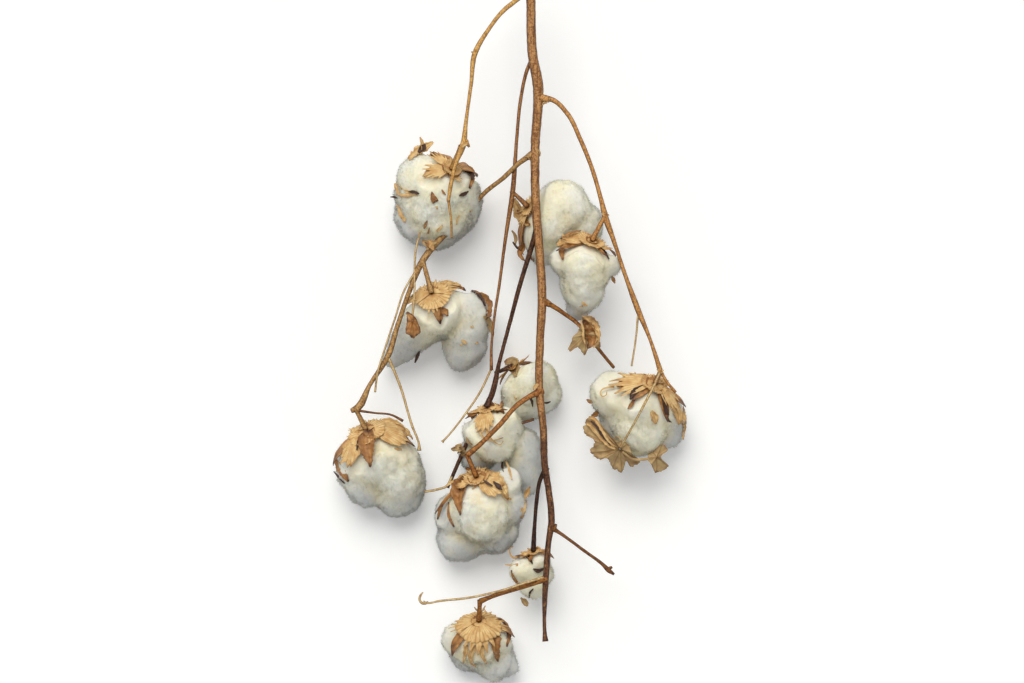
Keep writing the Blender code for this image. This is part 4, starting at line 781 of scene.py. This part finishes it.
class Form:
    """A boll's own space: its axis, and the smoothed form of its lint that the shells lie on."""

    def __init__(self, boll):
        self.boll = boll
        self.centre = np.array(boll.centre, float)
        self.samples = even_directions(400)
        self.reach = lint_reach(boll, self.samples)
        axis = np.array(boll.base, float) - self.centre
        self.axis = axis / np.linalg.norm(axis)
        front = np.array((0, 0, 1)) - self.axis[2] * self.axis
        self.front = front / np.linalg.norm(front)
        self.side = np.cross(self.axis, self.front)

    def carrier(self, directions):
        weights = np.exp(CARRIER_SPREAD * (directions @ self.samples.T - 1))
        return weights @ self.reach / weights.sum(axis=1)

    def polar(self, point):
        """A point's angle from the axis and its turn round it."""
        towards = np.array(point, float) - self.centre
        towards /= np.linalg.norm(towards)
        turn = math.atan2(towards @ self.side, towards @ self.front)
        return math.acos(towards @ self.axis), turn

    def pedicel_seat(self):
        """Where the pedicel ends, on the bracts' middle."""
        return self.centre + self.axis * (self.carrier(self.axis[None])[0] + BRACT_INNER + 1.1)

    def blade(self, angle, turn, half_width, style, height, random):
        """A blade that fans out from the axis over the lint: its points, faces, values and rays."""
        cap = half_width == math.pi
        teeth, rows = (CAP_TEETH, CAP_ROWS) if cap else (style.teeth, style.rows)
        steps = CAP_STEPS if cap else TOOTH_STEPS if teeth > 1 else POINT_STEPS
        across = np.linspace(-1, 1, teeth * steps + 1)
        tooth = (across + 1) / 2 * teeth
        which = np.minimum(tooth.astype(int), teeth - 1)
        gap = np.abs(tooth - which - 0.5) * 2
        point = (1 - gap) ** style.sharp
        length = random.uniform(*TOOTH_LENGTH, teeth)
        length[teeth // 2] = 1.0
        sway = np.radians(random.uniform(-style.sway, style.sway, teeth))
        lift = random.uniform(0.2, 1.0, teeth) * style.lift
        if cap:
            fringe = np.resize(random.uniform(0, 1, teeth), teeth + 1)
            fringe = np.interp(tooth, np.arange(teeth + 1), fringe)
            tips = point * length[which] * random.uniform(0, 1, teeth)[which]
            reach = 1 - 2 * CAP_FRINGE + CAP_FRINGE * (fringe + tips)
        elif teeth > 1:
            reach = style.shoulder + (1 - style.shoulder) * (1 - np.abs(across) ** 2.2)
            reach = reach * (1 - style.depth + style.depth * length[which] * point)
        else:
            reach = style.shoulder + (1 - style.shoulder) * (1 - np.abs(across)) ** style.sharp
        along = np.linspace(0.05, 1, rows)[:, None] ** 0.9
        angles = along * reach * angle
        curl = along**4 * point
        turns = turn + across * half_width + curl * sway[which]
        out = np.cos(turns)[..., None] * self.front + np.sin(turns)[..., None] * self.side
        rays = np.cos(angles)[..., None] * self.axis + np.sin(angles)[..., None] * out
        flat = rays.reshape(-1, 3)
        edge = along * reach
        ribs = np.cos(tooth * math.pi) if cap else 0.5 + 0.5 * np.cos(tooth * 4 * math.pi)
        vein = np.broadcast_to(ribs**2, edge.shape)
        height_of_ribs = CAP_RIBS if cap else style.vein
        grooved = height_of_ribs * vein * (1 - 0.6 * along) * np.minimum(1, along * 4)
        raised = self.boll.tip_lift * edge**3 + curl * lift[which] + style.cup * across**2 * edge**2
        spots = self.centre + flat * self.carrier(flat)[:, None]
        crumple = style.crumple * (rough(spots, 8, height) + 0.5 * rough(spots, 3.2, height))
        level = self.carrier(flat) + height + (raised + grooved).ravel() + crumple * edge.ravel()
        thin = style.thickness / 2 * (1 - 0.4 * edge.ravel())
        top, bottom = (
            (self.centre + flat * (level + side * thin)[:, None]).reshape(rays.shape)
            for side in (1, -1)
        )
        points, faces = slab(top, bottom)
        shown = edge * 0.5 if cap else edge
        tone = np.clip(1 - along * reach * angle / POLE_TINT, 0, 0.8)
        values = {"edge": shown, "vein": vein, "tone": tone}
        values = {key: np.tile(value.ravel(), 2) for key, value in values.items()}
        return points, faces, values, flat[::3]

    def shells(self, blades, style, cap, inner, random):
        """A cap round the axis and the blades over it."""
        polar = [(*self.polar(tip), math.radians(half)) for *tip, half in blades]
        least = cap * max(angle for angle, *_ in polar)
        made = [self.blade(least, 0, math.pi, style, inner, random)]
        for i, (angle, turn, half) in enumerate(polar):
            height = inner + BLADE_STEP * (i + 1)
            made.append(self.blade(angle, turn, half, style, height, random))
        return made


def vertex_normals(points, faces):
    corners = points[faces]
    crossed = np.cross(corners[:, 1] - corners[:, 0], corners[:, 2] - corners[:, 0])
    normals = np.zeros_like(points)
    for corner in range(3):
        np.add.at(normals, faces[:, corner], crossed)
    return normals / np.linalg.norm(normals, axis=1)[:, None]


def painted_shade_grey(boll, points):
    """How much painted shade greys the lint: in full on the rear locks and low down, and not at all on
    the top.
    """
    locks = np.array(boll.locks, float)
    tops = locks[:, 2] + locks[:, 3]
    away = np.linalg.norm(points[:, None] - locks[:, :3], axis=2) - locks[:, 3]
    weights = np.exp(-away / 1.5)
    nearest = (weights * tops).sum(axis=1) / weights.sum(axis=1)
    rear, low = (
        (tops.max() - height - start) / span
        for height, (start, span) in ((nearest, SHADED_REAR_LOCK), (points[:, 2], SHADED_LOW_LINT))
    )
    return np.clip(np.maximum(rear, low), 0, 1)


def lint(form, covered, random):
    """The burst locks with tufts and fibres, pressed in under the shells and flat on the floor."""
    area = 4 * math.pi * np.mean(form.reach**2)
    directions = even_directions(int(area / LINT_CELL))
    reach = lint_reach(form.boll, directions)
    smooth = form.carrier(directions)
    lumps = form.centre + directions * reach[:, None]
    reach += LUMP_DEPTH * rough(lumps, LUMP_SIZE) / 1.6
    for size, depth in PUFFS:
        reach += depth * (np.sqrt(rough(lumps, size) ** 2 + 0.06) - 0.4)
    # How deep a point lies in a crease; the lint is painted cream there, partly its own tint and
    # partly painted shade.
    crease = np.clip((smooth + 1.0 - reach) / 4.5, 0, 1)
    tree = KDTree(len(covered))
    for i, ray in enumerate(covered):
        tree.insert(ray, i)
    tree.balance()
    full, end = (2 * math.sin(math.radians(a) / 2) for a in PRESSED_ANGLE)
    near = np.array([tree.find(ray)[2] for ray in directions])
    ease = np.clip((near - full) / (end - full), 0, 1)
    pressed = smooth + VALVE_INNER - PRESSED_DEPTH + 9 * ease**2
    reach = np.where(ease < 1, np.minimum(reach, pressed), reach)
    falling = directions[:, 2] < 0
    floor = form.centre[2] / np.maximum(-directions[:, 2], 1e-6)
    reach[falling] = np.minimum(reach[falling], floor[falling])
    hull = bmesh.new()
    for ray in directions:
        hull.verts.new(ray)
    bmesh.ops.convex_hull(hull, input=hull.verts)
    hull.verts.index_update()
    faces = np.array([[vertex.index for vertex in face.verts] for face in hull.faces])
    hull.free()
    points = form.centre + directions * reach[:, None]
    faces = outward(points - form.centre, faces)
    stains = np.array(STAINS, float)
    away = np.linalg.norm(points[:, None] - stains[:, :3], axis=2) / stains[:, 3]
    stain = np.exp(-(away**2)).sum(axis=1)
    # Painted shade: how grey the lint is made on its rear locks and low down.
    low = painted_shade_grey(form.boll, points)
    body = Pieces()
    body.add(points, faces, crease=crease, stain=stain, low=low)
    add_fibres(body, points, vertex_normals(points, faces), ease, crease, low, area, random)
    return body, BVHTree.FromPolygons(points.tolist(), faces.tolist())


def add_fibres(body, points, normals, ease, crease, low, area, random):
    """Loose fibres, short and straight or long and bent, three-sided and rooted in the lint."""
    for cell, parts, least, most, radius, steepest in FIBRES:
        grows = (ease > FREE_LINT) & (points[:, 2] > FIBRE_FLOOR)
        grows &= np.abs(normals[:, 2]) <= steepest
        free = np.flatnonzero(grows)
        roots = random.choice(free, int(area / cell * len(free) / len(points)))
        start, normal = points[roots], normals[roots]
        lean = np.cross(normal, random.normal(size=(len(roots), 3)))
        lean /= np.linalg.norm(lean, axis=1)[:, None]
        bend = np.cross(normal, lean)
        length = random.uniform(least, most, len(roots))[:, None]
        corners, sides = [], [(2, 1, 0)]
        for part in range(parts):
            share = part / parts
            middle = start - 0.5 * normal + length * share * (0.8 * normal + 0.5 * lean)
            for side in range(3):
                turn = 2 * math.pi * side / 3
                out = math.cos(turn) * lean + math.sin(turn) * bend
                corners.append(middle + radius * (1 - 0.5 * share) * out)
                a, b = 3 * part + side, 3 * part + (side + 1) % 3
                if part < parts - 1:
                    sides += [(a, b, b + 3), (a, b + 3, a + 3)]
                else:
                    sides.append((a, b, 3 * parts))
        sway = random.normal(0, 0.3, length.shape) * bend
        corners.append(start + length * (0.6 * normal + 0.6 * lean + sway))
        fibres = np.stack(corners, axis=1)
        first = np.arange(len(roots))[:, None, None] * fibres.shape[1]
        faces = (first + np.array(sides)).reshape(-1, 3)
        # The fibres take half the crease cream, partly painted shade, and the painted grey shade of
        # the lint they grow from.
        shade = np.repeat(crease[roots] * 0.5, fibres.shape[1])
        painted_shade_dim = np.repeat(low[roots], fibres.shape[1])
        fibres = fibres.reshape(-1, 3)
        body.points.append(fibres)
        body.faces.append(faces + body.count)
        body.values.append({"crease": shade, "stain": np.zeros(len(fibres)), "low": painted_shade_dim})
        body.count += len(fibres)


def ribbon(route, cup, random, thickness=0.35):
    """A curled strip along centres with normals and half widths, as (points, faces, values)."""
    centres, normals, widths = route
    tangents = np.gradient(centres, axis=0)
    across = np.cross(normals, tangents)
    across /= np.linalg.norm(across, axis=1)[:, None]
    normals = np.cross(tangents, across)
    normals /= np.linalg.norm(normals, axis=1)[:, None]
    share = np.linspace(-1, 1, SCRAP_COLUMNS)
    ragged = 1 + 0.22 * rough(centres, 1.7, random.uniform(0, 50))
    wide = (widths * ragged)[:, None]
    curl = cup * wide * (share**2 - 0.35) * 0.6
    flat = centres[:, None] + (wide * share)[..., None] * across[:, None]
    grid = flat + curl[..., None] * normals[:, None]
    crumple = 0.16 * widths.max() * rough(grid.reshape(-1, 3), 2.2).reshape(curl.shape)
    grid = grid + crumple[..., None] * normals[:, None]
    half = thickness / 2 * normals[:, None]
    points, faces = slab(grid + half, grid - half)
    along = np.linspace(0, 1, len(centres))[:, None]
    edge = np.maximum(np.abs(2 * along - 1), np.broadcast_to(np.abs(share) * 0.8, curl.shape))
    vein = np.broadcast_to(0.5 + 0.5 * np.cos(share * 3 * math.pi), curl.shape)
    return points, faces, {"edge": np.tile(edge.ravel(), 2), "vein": np.tile(vein.ravel(), 2)}


def draped(tree, points, lift, middle):
    """A route over the lint, as seen from above, through (x, y, half width) points."""
    run = smooth_run(points, SCRAP_STEP)
    centres, normals = [], []
    for x, y, _ in run:
        spot, normal, *_ = tree.ray_cast(Vector((x, y, 200)), Vector((0, 0, -1)))
        if spot is None:
            spot, normal, *_ = tree.find_nearest(Vector((x, y, middle)))
            spot = Vector((x, y, spot.z))
        centres.append(spot)
        normals.append(normal)
    centres, normals = np.array(centres), np.array(normals)
    level = np.convolve(np.pad(centres[:, 2], 4, mode="edge"), np.ones(9) / 9, mode="valid")
    centres[:, 2] = np.maximum(level, centres[:, 2] - 1.0) + lift
    normals = normals + (0, 0, 1.0)
    return centres, normals, np.maximum(run[:, 2], 0.25)


def add_scrap(scrap, tree, middle, gathered, random):
    """Adds a scrap to the pieces of its kind."""
    kind, lift, cup, points = scrap
    points, faces, values = ribbon(draped(tree, points, lift, middle), cup, random)
    values["tone"] = 1.0 if kind == "dark" else 0.0
    kind = {"bract": "bracts", "dark": "bur"}.get(kind, kind)
    gathered[kind].add(points, faces, **values)


def boll_pieces(number, form, materials, withered):
    """A boll's lint, bur and bracts, with the scraps on it."""
    boll = form.boll
    random = np.random.default_rng(number)
    valves = [valve for i, valve in enumerate(boll.valves) if i not in REDRAWN.get(number, ())]
    bract = BRACT._replace(depth=WHOLE.get(number, BRACT.depth))
    shells = {
        "bracts": form.shells(boll.bracts, bract, boll.cap, BRACT_INNER, random),
        "bur": form.shells(valves, VALVE, VALVE_CAP, VALVE_INNER + 0.4, random),
    }
    covered = np.concatenate([made[3] for blades in shells.values() for made in blades])
    body, tree = lint(form, covered, random)
    gathered = {kind: Pieces() for kind in shells}
    for kind, blades in shells.items():
        for points, faces, values, _ in blades:
            gathered[kind].add(points, faces, **values)
    for scrap in DETAILS[number]:
        add_scrap(scrap, tree, boll.centre[2], {**gathered, "leaf": withered}, random)
    name = f"boll_{number:02d}"
    add_piece(f"{name}_fluffy_lint", body.mesh(name), materials["lint"], "lint", f"{name}_lint")
    for kind, made in gathered.items():
        add_piece(f"{name}_dry_{kind}", made.mesh(f"{name}_{kind}"), materials[kind], kind,
                  f"{name}_{kind}")  # fmt: skip


def tube(run, random):
    """A run of wood with ridged bark, as one closed tube."""
    sides = STEM_SIDES if max(r for *_, r in run) > STEM_TWIG_LIMIT else TWIG_SIDES
    rings = smooth_run(run, RING_STEP)
    tangents = np.gradient(rings[:, :3], axis=0)
    across = Vector((0, 0, 1)).cross(Vector(tangents[0])).normalized()
    phase, twist = random.uniform(0, 6), random.uniform(-0.02, 0.02)
    points = []
    for i, (ring, tangent) in enumerate(zip(rings, tangents)):
        forward = Vector(tangent).normalized()
        across = (across - forward * across.dot(forward)).normalized()
        up = forward.cross(across)
        for side in range(sides):
            turn = 2 * math.pi * side / sides
            out = math.cos(turn) * across + math.sin(turn) * up
            spot = Vector(ring[:3]) + out * ring[3]
            ridge = 0.4 * math.cos(4 * turn + phase + twist * i) + noise.noise(spot / 2.6)
            ridge += 0.8 * noise.noise(spot / 9)
            points.append(spot + out * ring[3] * BARK_DEPTH * ridge)
    last = len(rings) - 1
    first_face = [(0, side, side + 1) for side in range(1, sides - 1)]
    last_face = [(last * sides + a, last * sides + c, last * sides + b) for a, b, c in first_face]
    faces = first_face + last_face
    for ring in range(last):
        for side in range(sides):
            a, b = ring * sides + side, ring * sides + (side + 1) % sides
            faces += [(a, b + sides, b), (a, a + sides, b + sides)]
    points = np.array(points)
    return points, outward(points - points.mean(axis=0), np.array(faces))


def node_stubs(run, random):
    """Short scars and buds where a run swells."""
    stubs = []
    for before, here, after in zip(run, run[1:], run[2:]):
        if here[3] < 1.15 * max(before[3], after[3]) and here[3] < 1.35 * min(before[3], after[3]):
            continue
        for _ in range(3):
            way = random.normal(size=3)
            way /= np.linalg.norm(way)
            along = np.array(after[:3]) - here[:3]
            start = np.array(here[:3]) + random.uniform(-1, 1) * along * 0.05
            long = here[3] * random.uniform(1.1, 1.75)
            thick = here[3] * random.uniform(0.3, 0.5)
            stubs.append([(*start, thick), (*(start + way * long * 0.6), thick * 0.9),
                          (*(start + way * long), thick * 0.45)])  # fmt: skip
    return stubs


def foot(run):
    """The flare at the foot of a run, where it grows out of thicker wood."""
    start = np.array(run[0], float)
    way = np.array(run[1][:3]) - start[:3]
    way /= np.linalg.norm(way)
    thick = start[3]
    return [(*(start[:3] + way * thick * far), thick * wide) for far, wide in FOOT]


def wood_piece(name, runs, material, slot, random, *nodes):
    """Runs of wood joined into one piece."""
    made = []
    for i, run in enumerate(runs):
        gathered = Pieces()
        gathered.add(*tube(run, random))
        item = bpy.data.objects.new(f"{name}_{i}", gathered.mesh(f"{name}_{i}"))
        made.append(item)
    tools = bpy.data.collections.new(name + "_runs")
    bpy.context.scene.collection.children.link(tools)
    for item in made[1:]:
        tools.objects.link(item)
    bpy.context.scene.collection.objects.link(made[0])
    if len(made) > 1:
        step = made[0].modifiers.new("join", "BOOLEAN")
        step.operation, step.operand_type, step.solver = "UNION", "COLLECTION", "MANIFOLD"
        step.collection = tools
        bpy.context.view_layer.update()
    evaluated = made[0].evaluated_get(bpy.context.evaluated_depsgraph_get())
    joined = bpy.data.meshes.new_from_object(evaluated)
    for item in made:
        bpy.data.objects.remove(item, do_unlink=True)
    bpy.data.collections.remove(tools)
    joined.materials.clear()
    joined.shade_smooth()
    return add_piece(name, joined, material, slot, *nodes)


def branch_pieces(forms, woods):
    """The main stem, the branches and the thin stalks on them."""
    random = np.random.default_rng(100)
    stem = [MAIN_STEM, *node_stubs(MAIN_STEM, random)]
    made = [wood_piece("bark_of_main_stem", stem, woods["main_stem"], "stem_wood", random,
                       "main_stem")]  # fmt: skip
    for branch in BRANCHES:
        loose = {i for where in LOOSE_RUNS.values() for i in where.get(branch.name, ())}
        runs = [run for i, run in enumerate(branch.runs) if i not in loose]
        for number, start in branch.pedicels.items():
            runs.append([*start, (*forms[number].pedicel_seat(), PEDICEL_END)])
        for run in list(runs):
            runs += [foot(run), *node_stubs(run, random)]
        made.append(wood_piece(f"bark_of_{branch.name}", runs, woods[branch.name], branch.colour,
                               random, branch.name))  # fmt: skip
    for name, where in LOOSE_RUNS.items():
        runs = [branch.runs[i] for branch in BRANCHES for i in where.get(branch.name, ())]
        runs += [HOOK] if name == "pale_stalks" else []
        slot = "brown_wood" if name == "brown_tendrils" else "tan_wood"
        wood_piece(name, runs, woods[name], slot, random)
    return made


def joined_tree(pieces):
    """A tree of the pieces' triangles, in millimetres."""
    points, faces = [], []
    for piece in pieces:
        first = len(points)
        faces += [[first + corner for corner in face.vertices] for face in piece.data.polygons]
        points += [vertex.co / MM for vertex in piece.data.vertices]
    return BVHTree.FromPolygons(points, faces)


def node_scraps(barks, withered, materials):
    """The scraps of bark and bud scales at the nodes of the wood."""
    random = np.random.default_rng(300)
    tree = joined_tree(barks)
    gathered = {"bracts": Pieces(), "bur": Pieces(), "leaf": withered}
    for scrap in NODE_SCRAPS:
        add_scrap(scrap, tree, 50, gathered, random)
    add_piece("leaf_scraps", withered.mesh("leaf_scraps"), materials["leaf"], "dry_leaf")
    add_piece("bark_scraps", gathered["bracts"].mesh("bark_scraps"), materials["bracts"], "bracts")
    add_piece("bud_scales", gathered["bur"].mesh("bud_scales"), materials["bur"], "bur")


def leaf(middle, edge, random, size=1.0):
    """A withered leaf: ribs run from its middle to its points, and its edge is ragged."""
    edge = np.array(edge, float)
    count = len(edge)
    around, rings = LEAF_STEPS * count, LEAF_RINGS
    position = np.arange(around) / LEAF_STEPS
    which, t = position.astype(int), (position % 1)[:, None]
    # Catmull-Rom through the edge's points, closed.
    p0, p1, p2, p3 = (edge[(which + k) % count] for k in (-1, 0, 1, 2))
    rim = 0.5 * (2 * p1 + (p2 - p0) * t + (2 * p0 - 5 * p1 + 4 * p2 - p3) * t**2
                 + (3 * p1 - p0 - 3 * p2 + p3) * t**3)  # fmt: skip
    middle = np.array(middle, float)
    ragged = 1 + 0.05 * rough(rim, 3.0, 3.0) + 0.035 * rough(rim, 1.1, 7.0)
    share = np.linspace(0.03, 1, rings)
    grid = middle + share[:, None, None] * (rim - middle) * ragged[:, None]
    rib = np.exp(-((np.minimum(t[:, 0], 1 - t[:, 0]) * 6) ** 2))
    flat = grid.reshape(-1, 3)
    lift = rough(flat, 8, 5) * 2.2 * size + rough(flat, 3.2, 9) * 0.9 * size
    lift = lift.reshape(grid.shape[:2]) * share[:, None]
    lift += 1.2 * size * (rib - 0.4) * (1 - 0.4 * share[:, None])
    grid[..., 2] += lift
    closing = np.concatenate([grid, grid[:, :1]], axis=1)
    half = np.array((0, 0, LEAF_THICKNESS / 2))
    points, faces = slab(closing + half, closing - half)
    values = {
        "edge": np.tile(np.repeat(share, around + 1) ** 1.5, 2),
        "vein": np.tile(np.tile(np.append(rib, rib[0]), rings), 2),
        "tone": 0.0,
    }
    return points, faces, values


def leaf_pieces(materials):
    """The withered leaves and the hanging bract."""
    random = np.random.default_rng(200)
    small, large, hanging = Pieces(), Pieces(), Pieces()
    for gathered, shape, size in ((small, SMALL_LEAF, 0.8), (large, LARGE_LEAF, 1.0),
                                  (large, LEAF_SCRAP, 0.8), (hanging, HANGING_BRACT, 0.5)):
        points, faces, values = leaf(*shape, random, size)
        gathered.add(points, faces, **values)
    points, faces = tube(LEAF_STALK, random)
    large.add(points, faces, edge=0.3, vein=0.0, tone=0.0)
    add_piece("hanging_papery_bract", hanging.mesh("hanging"), materials["bur"], "bracts",
              "hanging_bract")  # fmt: skip
    return [
        add_piece(f"{size}_withered_leaf", made.mesh(f"{size}_leaf"), materials["leaf"],
                  "dry_leaf", f"{size}_dry_leaf")
        for size, made in (("small", small), ("large", large))
    ]  # fmt: skip


def studio():
    """The floor, a broad soft light from the cut end's side, and the camera above."""
    bpy.ops.mesh.primitive_plane_add(size=8, location=(0, 0, -0.0003))
    floor = bpy.context.object
    floor.name = "floor"
    look = Shader("floor", 0.9)
    tint = look.mix(look.noise(300, 2), (0.93, 0.93, 0.93), (0.95, 0.95, 0.945))
    look.surface.inputs["Emission Color"].default_value = (1, 1, 1, 1)
    look.surface.inputs["Emission Strength"].default_value = FLOOR_GLOW
    floor.data.materials.append(look.finish(tint, look.noise(2, 2), 0.01))
    world = bpy.data.worlds.new("studio")
    bpy.context.scene.world = world
    world.use_nodes = True
    world.node_tree.nodes["Background"].inputs["Color"].default_value = (0.97, 0.985, 1, 1)
    world.node_tree.nodes["Background"].inputs["Strength"].default_value = SKY
    lamp = bpy.data.lights.new("window", "SUN")
    lamp.energy = SUN
    lamp.color = (1, 0.98, 0.93)
    lamp.angle = math.radians(45)
    window = bpy.data.objects.new("window", lamp)
    window.rotation_euler = (math.radians(-36), math.radians(-10), 0)
    bpy.context.scene.collection.objects.link(window)
    view = bpy.data.cameras.new("camera")
    view.sensor_width = 36
    view.lens = 36 * CAMERA_DISTANCE / CAMERA_WIDTH
    view.clip_end = 100
    camera = bpy.data.objects.new("camera", view)
    camera.location = (0.0015, -0.0105, CAMERA_DISTANCE + 0.035)
    bpy.context.scene.collection.objects.link(camera)
    bpy.context.scene.camera = camera
    bpy.context.scene.view_settings.view_transform = "Standard"


def main():
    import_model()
    studio()
    forms = {number: Form(boll) for number, boll in BOLLS.items()}
    materials = {
        "lint": lint_material(),
        "bracts": papery_material("bracts", (0.82, 0.58, 0.27), (0.62, 0.35, 0.13),
                                  (0.30, 0.115, 0.03)),
        "bur": valve_material(),
        "leaf": papery_material("dry_leaf", (0.58, 0.41, 0.20), (0.44, 0.25, 0.125),
                                (0.25, 0.10, 0.045), 0.3),
    }
    woods = {name: wood_material(name, *look) for name, look in WOODS.items()}
    barks = branch_pieces(forms, woods)
    withered = Pieces()
    for number, form in forms.items():
        boll_pieces(number, form, materials, withered)
    node_scraps(barks + leaf_pieces(materials), withered, materials)


main()
